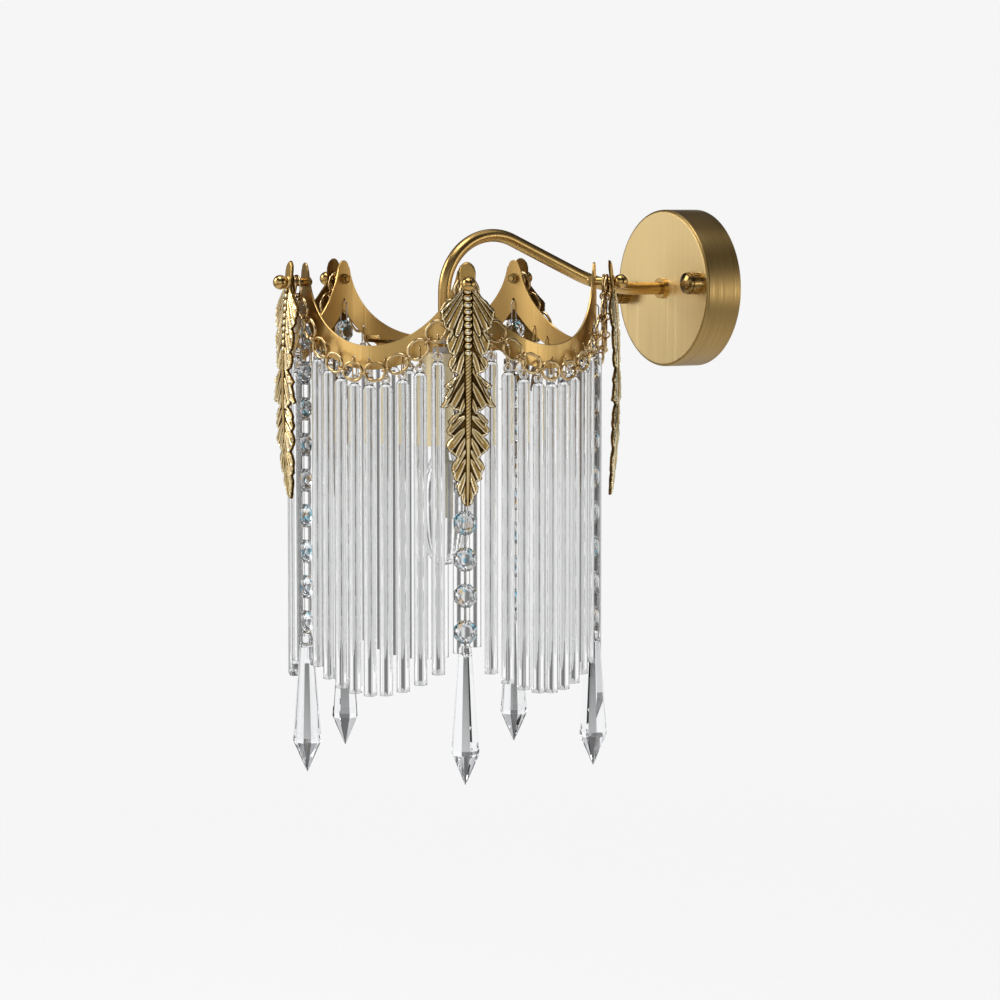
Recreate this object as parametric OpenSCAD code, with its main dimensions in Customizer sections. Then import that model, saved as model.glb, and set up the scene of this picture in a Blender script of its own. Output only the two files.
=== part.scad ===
// Glass wall sconce: a scalloped brass crown on a bent tube, hung with glass rods and beads.
// Millimetres, +Z up. The origin is the middle of the canopy's back, on the wall, and the lamp
// projects towards -Y. Parts of the shade are drawn about the shade's own axis, with +X outward.

/* [Canopy] */
// Diameter of the canopy
canopy_d = 100; // [96:1:130]
// Depth of the canopy, from the wall to its face
canopy_depth = 26; // [24:1:40]
// Thickness of the canopy's shell
canopy_wall = 1.2; // [0.8:0.1:2]
// Rounding of the canopy's front edge
canopy_round = 2; // [1.5:0.1:4]
// Distance between the two studs
stud_spacing = 80; // [78:1:84]
// Turn of the studs about the canopy's middle, in degrees
stud_turn = 5.5; // [0:0.5:8]
// Diameter of the studs
stud_d = 4; // [3:0.5:5]
// Diameter of the knurled cap nuts
cap_nut_d = 14; // [10:0.5:15]
// Height of the cap nuts
cap_nut_h = 12; // [10:0.5:16]

/* [Wall bracket] */
// Gap between the bracket's ends and the canopy's shell
bracket_gap = 2.8; // [2.4:0.1:3.8]
// Width of the bracket
bracket_w = 20; // [18:1:26]
// Thickness of the bracket
bracket_t = 2; // [1.5:0.1:3]
// Distance between the two wall screw holes
wall_hole_spacing = 60; // [50:1:62]
// Diameter of the wall screw holes
wall_hole_d = 4.5; // [4:0.1:5.5]
// Diameter of the hole in the bracket's middle for the wall's cable
cable_hole_d = 16; // [12:1:17]

/* [Arm] */
// Outside diameter of the tube
tube_d = 8; // [7:0.5:9]
// Wall thickness of the tube
tube_wall = 1; // [0.8:0.1:1.5]
// Distance from the wall to the shade's axis
reach = 189; // [180:1:220]
// Height of the hump above the tube's level run
hump_rise = 34; // [30:1:36]
// Bend radius at the hump
hump_r = 35; // [30:1:38]
// Slope of the tube between the bends, in degrees
arm_slope = 24; // [20:1:28]
// Bend radius where the level run starts to rise
ease_r = 120; // [60:5:140]
// Diameter of the collar on the canopy's face
collar_d = 13; // [11:0.5:18]
// Thickness of the collar
collar_t = 2.2; // [2:0.1:5]
// Width across the flats of the tube's nuts
nut_af = 13; // [12:0.5:16]
// Thickness of the tube's nuts
nut_t = 4; // [3:0.5:5]

/* [Crown band] */
// Outside radius of the crown band
crown_r = 93.4; // [88:0.1:98]
// Thickness of the crown's sheet
sheet_t = 1.2; // [0.8:0.1:1.6]
// Depth of the band's top edge below the tube's level run, in the middle of a bay
crown_drop = 30.5; // [28:0.5:36]
// Height of the points above that edge
crown_rise = 48.5; // [44:0.5:50]
// Width of the band in the middle of a bay
band_w = 14.2; // [13:0.1:17]
// Height of the arches under the points above the band's lowest edge
arch_rise = 32; // [28:0.5:34]
// Half width of each point's finger
finger_w = 3.3; // [3:0.1:4.4]
// Rounding radius of each finger's tip
finger_r = 3.7; // [3.7:0.1:5]
// Turn of the whole shade about its axis, in degrees
shade_turn = -6; // [-12:1:12]

/* [Leaves] */
// Length of a leaf
leaf_l = 143.5; // [130:0.5:150]
// Thickness of a leaf's plate
leaf_t = 1.6; // [1.2:0.1:2.4]
// Radius of the leaf's bow from top to tip
leaf_bow_r = 600; // [500:10:900]
// Distance from the leaf's top to its screw
leaf_screw_y = 13; // [12:0.1:14]
// Height of the leaves' screws above the tube's level run
screw_z = 6.3; // [4:0.1:8]
// Distance between the band and the leaf's back, at the screw
leaf_gap = 9.6; // [9.2:0.1:13]
// Diameter of the leaves' screws
screw_d = 3; // [2.5:0.1:3.5]
// Diameter of the ball knobs
knob_d = 8.8; // [8:0.1:11]

/* [Chains] */
// Fall of each chain between its two screws
chain_fall = 52.5; // [48:0.5:55]
// Number of large links in a chain
chain_links = 12; // [11:1:13]
// Width of a large link
link_w = 12; // [10:0.1:12.6]
// Wire diameter of a large link
link_wire = 1.8; // [1.4:0.1:1.9]
// Wire diameter of the small round links
small_wire = 1.1; // [0.9:0.1:1.3]
// Hole of the small round links
small_hole_d = 4.4; // [4.4:0.1:4.8]

/* [Glass rods] */
// Number of rods in a bay
rods_per_bay = 9; // [6:1:9]
// Diameter of a rod
rod_d = 8; // [6:0.1:8.6]
// Length of a rod below its eye
rod_l = 188; // [150:1:220]
// Diameter of a rod's eye
eye_d = 6.4; // [5.8:0.1:7]
// Thickness of a rod's eye
eye_t = 2.6; // [2:0.1:2.7]
// Diameter of the hole in a rod's eye
eye_hole_d = 2.4; // [2.3:0.1:2.8]
// Gap between the band's lower edge and a rod's eye
eye_drop = 3.3; // [2.5:0.1:4.5]
// Distance from a rod's hole in the band to its eye
hook_l = 12.9; // [12:0.1:15]

/* [Bead strands] */
// Number of beads in a strand
beads = 9; // [5:1:9]
// Distance from bead to bead
bead_pitch = 21.6; // [20:0.1:24]
// Width of a bead across its flats
bead_af = 14; // [12.6:0.1:15]
// Thickness of a bead
bead_t = 6; // [5:0.1:6.4]
// Distance of a bead's holes from its middle
bead_hole_off = 5.1; // [4.6:0.1:5.2]
// Depth of the strand's hole below the leaf's screw
strand_hole_drop = 13.3; // [12:0.1:16]
// Distance from the strand's hole to the first bead's upper hole
strand_hook_l = 14.8; // [14.6:0.1:18]
// Length of a drop
drop_l = 83; // [60:1:100]
// Width of a drop at its shoulder
drop_w = 16; // [13:0.1:18]
// Length of a drop's pointed end
drop_point_l = 19; // [12:0.5:24]
// Width of a drop at its top
drop_top_w = 7; // [6:0.1:8]
// Distance from the last bead's lower hole to the drop's hole
drop_ring_l = 8.8; // [8.4:0.1:12]

/* [Lamp] */
// Width of the spider bar
bar_w = 8; // [6:0.5:9]
// Thickness of the spider bar
bar_t = 2; // [1.5:0.1:3]
// Diameter of the candle sleeve
sleeve_d = 27; // [25:0.5:30]
// Length of the candle sleeve
sleeve_l = 57; // [50:1:66]
// Thickness of the candle sleeve
sleeve_wall = 1; // [0.8:0.1:1.6]
// Diameter of the bulb's glass
bulb_d = 35; // [32:1:40]
// Length of the bulb's glass
bulb_l = 76; // [66:1:90]

/* [Hidden] */
$fn = 48;

// Colours
brass = [0.78, 0.62, 0.34];
pale_brass = [0.86, 0.73, 0.47];
old_gold = [0.66, 0.49, 0.22];
steel = [0.72, 0.73, 0.75];
clear_glass = [0.86, 0.9, 0.93, 0.5];
cream = [0.93, 0.87, 0.68];
stick_yellow = [0.9, 0.75, 0.35];
white_plastic = [0.92, 0.92, 0.9];

// Clearances
slip = 0.1;      // between a screw or tube and its hole, all round
loose = 0.3;     // between parts that lie near each other
seat_gap = 0.05; // between a hanging wire and the edge of its hole
past = 5;        // how far a cutter runs past what it cuts

// The shade's layout
points = 5;
bay = 360 / points;
half_bay = bay / 2;
rod_step = bay / (rods_per_bay + 2);
sheet_r = crown_r - sheet_t / 2;
top_edge_z = -crown_drop;
low_edge_z = top_edge_z - band_w;
bracket_l = canopy_d - 2 * (canopy_wall + bracket_gap);
tip_z = top_edge_z + crown_rise;
half_chord = crown_r * sin(half_bay);
top_chord = half_chord - finger_w;
top_cut_r = (pow(top_chord, 2) + pow(crown_rise, 2)) / (2 * crown_rise);
low_cut_r = (pow(half_chord, 2) + pow(arch_rise, 2)) / (2 * arch_rise);
low_cut_z = low_edge_z + low_cut_r;

function point_az(i) = -90 + shade_turn + bay * i;
function low_edge(a) = low_cut_z - sqrt(pow(low_cut_r, 2) - pow(crown_r * sin(a), 2));
function low_slope(a) = asin(crown_r * sin(a) / low_cut_r);
function rod_angle(j) = (j + 1.5) * rod_step - half_bay;

// Rods hang clear of the band's lower edge
function eye_z(a) = low_edge(a) - eye_drop + loose - (eye_d / 2 + loose) / cos(low_slope(a));

// Wire hooks of the rods: closed loops that stand square to the band
hook_wire = 0.8;
hook_w = eye_t + hook_wire + 2 * 0.2;
hook_hole_d = 1.8;
hook_top = hook_l - hook_hole_d / 2 + hook_wire / 2 + seat_gap + 0.1;
hook_bottom = eye_hole_d / 2 - hook_wire / 2 - seat_gap - loop_rise(eye_t / 2, hook_w / 2);

// Rise of a round loop's wire at a distance from the loop's middle
function loop_rise(x, r) = r - sqrt(pow(r, 2) - pow(x, 2));

// Links of the bead strands
strand_wire = 0.8;
strand_loop_w = 5.6;
bead_hole_d = 2.6;
bead_edge_t = 1.2;
table_w = 6.8;
bead_rim_slope = (bead_t - bead_edge_t) / (bead_af - table_w);
bead_hole_t = bead_edge_t + (bead_af - 2 * bead_hole_off) * bead_rim_slope;
bead_sit = bead_hole_d / 2 - strand_wire / 2 - seat_gap - loop_rise(bead_hole_t / 2, strand_loop_w / 2);
strand_hole_d = 2;
strand_hole_sit = strand_hole_d / 2 - strand_wire / 2 - seat_gap - loop_rise(sheet_t / 2, strand_loop_w / 2);
strand_hole_z = screw_z - strand_hole_drop;
first_bead_z = strand_hole_z - strand_hook_l - bead_hole_off;
last_bead_z = first_bead_z - (beads - 1) * bead_pitch;
drop_hole_z = last_bead_z - bead_hole_off - drop_ring_l;
drop_hole_d = 2.8;
drop_hole_y = 5.5;
drop_tongue_t = 3.6;
drop_tongue_l = 9;
drop_sit = drop_hole_d / 2 - strand_wire / 2 - seat_gap - loop_rise(drop_tongue_t / 2, strand_loop_w / 2);

// Chain: a catenary between two screws, laid on a cylinder outside the rods' hooks. The large
// links are as long as the chain's run and the number of links make them, to 0.02 mm
small_out_r = small_hole_d / 2 + small_wire;
chain_r = sheet_r + (hook_w + hook_wire) / 2 + loose + small_out_r;
chain_step_r = link_wire + loose;
spacer_d = 5;
chain_half = chain_r * half_bay * PI / 180;
chain_a = solve_catenary(chain_half / 4, 5 * chain_half, 40);
chain_run = chain_a * sinh(chain_half / chain_a);
link_play = 0.5;
link_grip = 2 * link_wire + link_play - small_hole_d;
end_link_extra = (link_grip - 2 * link_wire - spacer_d) / 2 - slip;
chain_pitch = 2 * (chain_run - end_link_extra) / chain_links;
link_l = round(50 * (chain_pitch + link_grip)) / 50;
end_link_off = chain_pitch / 2 + end_link_extra;

function cosh(x) = (exp(x) + exp(-x)) / 2;
function sinh(x) = (exp(x) - exp(-x)) / 2;
function asinh(x) = ln(x + sqrt(x * x + 1));
function catenary_fall(a) = a * (cosh(chain_half / a) - 1);
function solve_catenary(lo, hi, n) =
    n == 0 ? (lo + hi) / 2 :
    catenary_fall((lo + hi) / 2) > chain_fall ? solve_catenary((lo + hi) / 2, hi, n - 1) :
    solve_catenary(lo, (lo + hi) / 2, n - 1);

// Place of large link i along the chain: [distance round the shade, height, slope]
function link_run(i) = -chain_run + end_link_off + i * chain_pitch;
function link_s(i) = chain_a * asinh(link_run(i) / chain_a);
function link_z(i) = screw_z - chain_fall + sqrt(pow(chain_a, 2) + pow(link_run(i), 2)) - chain_a;
function link_tilt(i) = atan(link_run(i) / chain_a);
function link_radius(i) = chain_r + chain_step_r * i / (chain_links - 1);

// The two wires that a small link joins, and the middle and slope between them
function link_end(i, side) = [
    link_s(i) + side * (link_l - link_wire) / 2 * cos(link_tilt(i)),
    link_z(i) + side * (link_l - link_wire) / 2 * sin(link_tilt(i))
];
function small_mid(i) = (link_end(i, 1) + link_end(i + 1, -1)) / 2;
function small_tilt(i) = atan2(link_z(i + 1) - link_z(i), link_s(i + 1) - link_s(i));

// Arm: the middle of each bend
hump_y = -(reach - hump_r);
hump_z = hump_rise - hump_r;
slope_start = [hump_y + hump_r * sin(arm_slope), hump_z + hump_r * cos(arm_slope)];
ease_tan = ease_r * tan(arm_slope / 2);
level_y = slope_start[0] + slope_start[1] / tan(arm_slope);
slope_len = slope_start[1] / sin(arm_slope) - ease_tan;

// The bends are a hair thicker than the straight runs, which end inside them
bend_swell = 0.06;
run_in = 0.5;

// Heights of what hangs on the tube's end
bar_hub_d = 20;
bar_top_z = top_edge_z - 1.5;
bar_low_z = bar_top_z - bar_t;
tab_z = bar_top_z + 2.5;
sleeve_top_z = bar_low_z - nut_t;
sleeve_low_z = sleeve_top_z - sleeve_l;
tube_end_z = sleeve_top_z - 4;
holder_d = 23;
holder_top_z = sleeve_top_z - sleeve_wall;
holder_low_z = sleeve_low_z + 1;
lead_end_z = tube_end_z - 5;
lead_d = 4;
lead_hole_d = 6;

// Bulb and its cap
cap_d = 13.8;
cap_l = 20;
cap_wall = 0.5;
cap_top_t = 2;
socket_d = cap_d + 2 * loose;
bulb_top_z = sleeve_low_z + 2;
bulb_wall = 1;
bulb_neck_l = 6;
bulb_neck_r = cap_d / 2 - cap_wall - slip;
bulb_wide_z = -bulb_l * 0.42;
filament_low_z = -bulb_l * 0.62;
stick_d = 1.6;
stick_l = 34;
stick_off = 4.5;
stick_disc_d = 11;
stick_disc_t = 1.5;
stick_stem_d = 5;

// Inside the canopy
face_y = -canopy_depth;
inner_y = face_y + canopy_wall;
tube_start_y = inner_y + nut_t + 2;
stud_nut_t = 3;
stud_nut_af = 7;
block_size = [24, 12, 12];
block_top_z = -4;
block_y = -bracket_t - block_size[1] / 2;
block_hole_step = 8;

// Point hardware
point_nut_t = 2.4;
point_nut_d = 6.4;
screw_end = 3.5;

// Leaf: where its plate lies, measured outward from the shade's axis
leaf_seat_r = crown_r + leaf_gap;
leaf_bow_z = screw_z + leaf_screw_y - leaf_l / 2 - 2;
leaf_back_r = leaf_seat_r + loop_rise(screw_z - leaf_bow_z, leaf_bow_r);
leaf_front_r = leaf_seat_r + leaf_t + 0.8;
hub_d = 8;
rib_t = 1.2;
rib_top_y = 18;
rib_end = 6;

// Half outline of a leaf of the length below: [distance from the top, half width]
leaf_drawn_l = 143.5;
leaf_outline = [
    [0.2, 0.9], [1.2, 2.6], [3, 4.2], [6, 5], [10, 4.8], [14, 4.4], [17.5, 5.8], [21, 8.8],
    [24.5, 12.2], [27.5, 15.4], [29.5, 16.4], [31, 15.8], [33, 15.9], [35.5, 14.4], [37.5, 14.9],
    [39.5, 13], [40.7, 10.4], [43, 12.4], [46, 13.3], [50, 12.6], [53.5, 11.2], [54.6, 8.8],
    [57, 11.2], [60.5, 12], [64.2, 9.8], [65.6, 6], [69, 8], [73, 11.6], [75, 11], [79, 14],
    [81, 13.2], [84.8, 16.6], [85.6, 13.2], [84, 10.6], [86.6, 8.6], [87.4, 5.6], [89.5, 9],
    [93, 12], [95.5, 11.2], [98.5, 13], [101.3, 11.4], [102.4, 9.2], [104.5, 11.8], [107.5, 13],
    [110.5, 11.6], [112, 9.6], [114.6, 6.6], [117.5, 9], [121, 10], [124, 8.6], [127.5, 8.4],
    [129.5, 5.2], [132, 6.6], [135, 6], [138, 4], [140.8, 3.4], [143, 1.6], [143.5, 0.4]
];
leaf_scale = leaf_l / leaf_drawn_l;
leaf_last = len(leaf_outline) - 1;
leaf_right = [for (p = leaf_outline) [p[1], -p[0] * leaf_scale]];
leaf_left = [for (k = [leaf_last:-1:0]) [-leaf_outline[k][1], -leaf_outline[k][0] * leaf_scale]];

// Helpers

module shade() {
    translate([0, -reach, 0]) children();
}

module at_point(i) {
    shade() rotate([0, 0, point_az(i)]) children();
}

module at_bay(i) {
    shade() rotate([0, 0, point_az(i) + half_bay]) children();
}

module at_stud(side) {
    translate([side * stud_spacing / 2 * cos(stud_turn), 0, side * stud_spacing / 2 * sin(stud_turn)])
        children();
}

// A cylinder that points outward, along +X
module outward(d, from, to) {
    translate([from, 0, 0]) rotate([0, 90, 0]) cylinder(d = d, h = to - from);
}

// A cylinder that points away from the wall, along -Y
module forward(d, from_y, to_y) {
    translate([0, from_y, 0]) rotate([90, 0, 0]) cylinder(d = d, h = from_y - to_y);
}

module hex_forward(af, from_y, to_y) {
    translate([0, from_y, 0]) rotate([90, 0, 0])
        cylinder(d = af / cos(30), h = from_y - to_y, $fn = 6);
}

module tube_ring(out_d, in_d, h) {
    difference() {
        cylinder(d = out_d, h = h);
        translate([0, 0, -1]) cylinder(d = in_d, h = h + 2);
    }
}

// A closed wire loop in the XZ plane: two half rounds joined by straights, standing from z0 to z1
module wire_loop(w, z0, z1, wire) {
    r = w / 2;
    for (end = [[z0 + r, 180], [z1 - r, 0]])
        translate([0, 0, end[0]]) rotate([90, 0, 0])
            rotate_extrude(angle = 180, start = end[1]) translate([r, 0]) circle(d = wire, $fn = 24);
    if (z1 - z0 > w)
        for (x = [-r, r])
            translate([x, 0, z0 + r]) cylinder(d = wire, h = z1 - z0 - w, $fn = 24);
}

// The arm's centre line, from the canopy to the tube's end, swept by a round of diameter d
module along_arm(d, start_y, end_z) {
    bend_d = d + bend_swell;
    translate([0, start_y, 0]) rotate([90, 0, 0])
        cylinder(d = d, h = start_y - (level_y + ease_tan) + run_in);
    translate([0, level_y + ease_tan, ease_r]) rotate([90, 0, 90])
        rotate_extrude(angle = arm_slope, start = 270 - arm_slope)
            translate([ease_r, 0]) circle(d = bend_d);
    translate([0, level_y - ease_tan * cos(arm_slope), ease_tan * sin(arm_slope)])
        rotate([90 - arm_slope, 0, 0])
            translate([0, 0, -run_in]) cylinder(d = d, h = slope_len + 2 * run_in);
    translate([0, hump_y, hump_z]) rotate([90, 0, 90])
        rotate_extrude(angle = 90 + arm_slope, start = 90 - arm_slope)
            translate([hump_r, 0]) circle(d = bend_d);
    translate([0, -reach, end_z]) cylinder(d = d, h = hump_z - end_z + run_in);
}

// Canopy and what is in it

module wall_bracket() {
    color(steel) difference() {
        translate([-bracket_l / 2, -bracket_t, -bracket_w / 2]) cube([bracket_l, bracket_t, bracket_w]);
        forward(cable_hole_d, 1, -bracket_t - 1);
        for (s = [-1, 1]) {
            translate([s * wall_hole_spacing / 2, 0, 0]) forward(wall_hole_d, 1, -bracket_t - 1);
            at_stud(s) forward(stud_d + 2 * slip, 1, -bracket_t - 1);
        }
    }
}

module canopy_studs() {
    color(steel) for (s = [-1, 1])
        at_stud(s) forward(stud_d, 0, face_y - cap_nut_h / 2);
}

module stud_nuts() {
    color(steel) for (s = [-1, 1])
        at_stud(s) difference() {
            hex_forward(stud_nut_af, -bracket_t, -bracket_t - stud_nut_t);
            forward(stud_d + 2 * slip, 0, -bracket_t - stud_nut_t - 1);
        }
}

module canopy_cover() {
    r = canopy_d / 2;
    b = canopy_round;
    color(pale_brass) difference() {
        rotate([90, 0, 0]) difference() {
            rotate_extrude($fn = 96) union() {
                square([r, canopy_depth - b]);
                square([r - b, canopy_depth]);
                translate([r - b, canopy_depth - b]) circle(r = b);
            }
            translate([0, 0, -1]) cylinder(r = r - canopy_wall, h = canopy_depth - b + 1, $fn = 96);
            cylinder(r = r - b, h = canopy_depth - canopy_wall, $fn = 96);
        }
        forward(tube_d + 2 * slip, 0, face_y - 1);
        for (s = [-1, 1])
            at_stud(s) forward(stud_d + 2 * slip, 0, face_y - 1);
    }
}

module canopy_cap_nuts() {
    grips = 24;
    groove_w = 0.8;
    groove_depth = 0.5;
    plain_h = 1.5;
    dome_h = cap_nut_h * 0.35;
    dome_r = cap_nut_d * 0.75;
    skirt_h = cap_nut_h - dome_h;
    color(brass) for (s = [-1, 1])
        at_stud(s) translate([0, face_y, 0]) rotate([90, 0, 0]) difference() {
            union() {
                cylinder(d = cap_nut_d, h = skirt_h);
                translate([0, 0, skirt_h]) intersection() {
                    cylinder(d = cap_nut_d - 2 * groove_depth, h = dome_h);
                    translate([0, 0, dome_h - dome_r]) sphere(r = dome_r);
                }
            }
            translate([0, 0, -1]) cylinder(d = stud_d + 2 * slip, h = cap_nut_h / 2 + 1.5);
            for (k = [0:grips - 1])
                rotate([0, 0, k * 360 / grips])
                    translate([cap_nut_d / 2 - groove_depth, -groove_w / 2, plain_h])
                        cube([past, groove_w, skirt_h - 2 * plain_h]);
        }
}

module terminal_block() {
    color(white_plastic) translate([0, block_y, block_top_z]) difference() {
        translate([-block_size[0] / 2, -block_size[1] / 2, -block_size[2]]) cube(block_size);
        for (k = [-1:1])
            translate([k * block_hole_step, 0, -block_size[2] - past])
                cylinder(d = lead_d + 2 * slip, h = block_size[2] + 2 * past);
    }
}

// Arm

module arm_tube() {
    color(brass) difference() {
        along_arm(tube_d, tube_start_y, tube_end_z);
        along_arm(tube_d - 2 * tube_wall, tube_start_y + 1, tube_end_z - 1);
    }
}

module arm_collar() {
    color(brass) difference() {
        forward(collar_d, face_y, face_y - collar_t);
        forward(tube_d + 2 * slip, 0, face_y - collar_t - 1);
    }
}

module arm_lock_nut() {
    color(steel) difference() {
        hex_forward(nut_af, inner_y + nut_t, inner_y);
        forward(tube_d + 2 * slip, 0, face_y);
    }
}

// Runs from the terminal block's middle hole, through the tube, to the lamp holder
module lamp_lead() {
    tail = 4;
    color(white_plastic) {
        along_arm(lead_d, block_y, lead_end_z);
        translate([0, block_y, 0]) sphere(d = lead_d + bend_swell);
        translate([0, block_y, block_top_z - tail]) cylinder(d = lead_d, h = tail - block_top_z);
    }
}

// Shade frame

module spider_bar() {
    end_r = crown_r - sheet_t - seat_gap;
    color(brass) shade() rotate([0, 0, point_az(4) - 2 * rod_step]) difference() {
        intersection() {
            cylinder(r = end_r, h = 2 * crown_rise + 2 * crown_drop, center = true, $fn = 96);
            union() {
                translate([-end_r - past, -bar_w / 2, bar_low_z]) cube([2 * (end_r + past), bar_w, bar_t]);
                translate([0, 0, bar_low_z]) cylinder(d = bar_hub_d, h = bar_t);
                for (s = [0, 180])
                    rotate([0, 0, s]) translate([end_r - bar_t, -bar_w / 2, bar_low_z])
                        cube([bar_t + past, bar_w, tab_z - bar_low_z]);
            }
        }
        translate([0, 0, bar_low_z - 1]) cylinder(d = tube_d + 2 * slip, h = bar_t + 2);
    }
}

module arm_end_nuts() {
    color(steel) shade() for (z = [bar_top_z, bar_low_z - nut_t])
        translate([0, 0, z]) difference() {
            cylinder(d = nut_af / cos(30), h = nut_t, $fn = 6);
            translate([0, 0, -1]) cylinder(d = tube_d + 2 * slip, h = nut_t + 2);
        }
}

module crown_band() {
    finger_z = tip_z - finger_r;
    inside_r = crown_r - 3 * past;
    color(pale_brass) shade() difference() {
        intersection() {
            translate([0, 0, low_edge_z - 1])
                tube_ring(2 * crown_r, 2 * (crown_r - sheet_t), tip_z - low_edge_z + 1);
            for (i = [0:points - 1])
                rotate([0, 0, point_az(i) + half_bay]) translate([0, 0, low_cut_z])
                    outward(2 * low_cut_r, crown_r / 2, crown_r + past);
        }
        for (i = [0:points - 1]) {
            rotate([0, 0, point_az(i) + half_bay]) translate([0, 0, top_edge_z + top_cut_r])
                outward(2 * top_cut_r, crown_r / 2, crown_r + 2 * past);
            rotate([0, 0, point_az(i)]) {
                difference() {
                    translate([inside_r, -2 * finger_r, finger_z])
                        cube([crown_r + past - inside_r, 4 * finger_r, finger_r + past]);
                    translate([0, 0, finger_z]) outward(2 * finger_r, inside_r - past, crown_r + 2 * past);
                }
                translate([0, 0, screw_z]) outward(screw_d + 2 * slip, inside_r, crown_r + past);
                translate([0, 0, strand_hole_z]) outward(strand_hole_d, inside_r, crown_r + past);
            }
            for (j = [0:rods_per_bay - 1])
                rotate([0, 0, point_az(i) + half_bay + rod_angle(j)])
                    translate([0, 0, eye_z(rod_angle(j)) + hook_l])
                        outward(hook_hole_d, inside_r, crown_r + past);
        }
    }
}

// Lamp

module lamp_holder() {
    color(cream) shade() difference() {
        translate([0, 0, holder_low_z]) cylinder(d = holder_d, h = holder_top_z - holder_low_z);
        translate([0, 0, tube_end_z]) cylinder(d = tube_d + 2 * slip, h = past);
        translate([0, 0, lead_end_z]) cylinder(d = lead_hole_d, h = 2 * past);
        translate([0, 0, sleeve_low_z]) cylinder(d = socket_d, h = bulb_top_z + cap_l - sleeve_low_z);
    }
}

module candle_sleeve() {
    color(cream) shade() difference() {
        translate([0, 0, sleeve_low_z]) cylinder(d = sleeve_d, h = sleeve_l);
        translate([0, 0, sleeve_low_z - 1])
            cylinder(d = sleeve_d - 2 * sleeve_wall, h = sleeve_l - sleeve_wall + 1);
        translate([0, 0, sleeve_top_z - past]) cylinder(d = tube_d + 2 * slip, h = 2 * past);
    }
}

module bulb_cap() {
    color(steel) shade() difference() {
        translate([0, 0, bulb_top_z]) cylinder(d = cap_d, h = cap_l);
        translate([0, 0, bulb_top_z - past])
            cylinder(d = cap_d - 2 * cap_wall, h = cap_l - cap_top_t + past);
    }
}

module bulb_glass() {
    color(clear_glass) shade() translate([0, 0, bulb_top_z]) difference() {
        bulb_body(0);
        bulb_body(bulb_wall);
    }
}

// The bulb's outline as a turned profile, drawn in by the wall's thickness
module bulb_body(wall) {
    steps = 14;
    neck = bulb_neck_r - wall;
    wide = bulb_d / 2 - wall;
    top = bulb_neck_l - wall;
    low = -bulb_l + wall;
    upper = [for (k = [0:steps])
        let (t = k / steps)
        [neck + (wide - neck) * (1 - cos(180 * t)) / 2, bulb_wide_z * t]];
    lower = [for (k = [1:steps])
        let (t = k / steps)
        [wide * pow(cos(90 * t), 0.8), bulb_wide_z + (low - bulb_wide_z) * sin(90 * t)]];
    rotate_extrude() polygon(concat([[0, top], [neck, top]], upper, lower));
}

// Four upright sticks under a disc, held by a stem from the bulb's neck
module bulb_filament() {
    stem_l = bulb_neck_l - bulb_wall - filament_low_z - stick_l - stick_disc_t;
    color(stick_yellow) shade() translate([0, 0, bulb_top_z + filament_low_z]) {
        for (k = [0:3])
            rotate([0, 0, 45 + 90 * k]) translate([stick_off, 0, 0]) cylinder(d = stick_d, h = stick_l);
        translate([0, 0, stick_l]) cylinder(d = stick_disc_d, h = stick_disc_t);
        translate([0, 0, stick_l + stick_disc_t]) cylinder(d = stick_stem_d, h = stem_l);
    }
}

// What holds the leaves on

module point_screws() {
    color(steel) for (i = [0:points - 1])
        at_point(i) translate([0, 0, screw_z])
            outward(screw_d, crown_r - sheet_t - screw_end, leaf_front_r + knob_d / 2);
}

module ball_knobs() {
    color(brass) for (i = [0:points - 1])
        at_point(i) translate([0, 0, screw_z]) difference() {
            intersection() {
                translate([leaf_front_r + knob_d * 0.42, 0, 0]) sphere(d = knob_d);
                outward(2 * knob_d, leaf_front_r, leaf_front_r + 2 * knob_d);
            }
            outward(screw_d + 2 * slip, leaf_front_r - 1, leaf_front_r + knob_d / 2 + 0.5);
        }
}

module point_spacers() {
    color(brass) for (i = [0:points - 1])
        at_point(i) translate([0, 0, screw_z]) difference() {
            outward(spacer_d, crown_r, leaf_seat_r);
            outward(screw_d + 2 * slip, crown_r - 1, leaf_seat_r + 1);
        }
}

module point_nuts() {
    nut_r = crown_r - sheet_t - loop_rise(point_nut_d / 2, crown_r - sheet_t) - seat_gap;
    color(brass) for (i = [0:points - 1])
        at_point(i) translate([0, 0, screw_z]) difference() {
            translate([nut_r - point_nut_t, 0, 0]) rotate([0, 90, 0])
                cylinder(d = point_nut_d, h = point_nut_t, $fn = 6);
            outward(screw_d + 2 * slip, nut_r - past, nut_r + 1);
        }
}

// A bowed plate with the given outline; the thickness grows outward
module bowed(t) {
    intersection() {
        translate([leaf_seat_r - past, 0, screw_z + leaf_screw_y]) rotate([90, 0, 90])
            linear_extrude(4 * past) children();
        translate([leaf_back_r - leaf_bow_r, leaf_l / 2, leaf_bow_z]) rotate([90, 0, 0]) difference() {
            cylinder(r = leaf_bow_r + t, h = leaf_l, $fn = 360);
            translate([0, 0, -1]) cylinder(r = leaf_bow_r, h = leaf_l + 2, $fn = 360);
        }
    }
}

module leaf(i) {
    color(old_gold) at_point(i) difference() {
        union() {
            bowed(leaf_t) polygon(concat(leaf_right, leaf_left));
            bowed(leaf_t + rib_t) polygon([
                [-1.6, -rib_top_y], [1.6, -rib_top_y], [1, rib_end - leaf_l], [-1, rib_end - leaf_l]
            ]);
            translate([0, 0, screw_z]) outward(hub_d, leaf_seat_r, leaf_front_r);
        }
        translate([0, 0, screw_z]) {
            outward(screw_d + 2 * slip, leaf_seat_r - past, leaf_front_r + past);
            outward(spacer_d + 1, leaf_seat_r - past, leaf_seat_r);
        }
    }
}

// Chains

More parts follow.
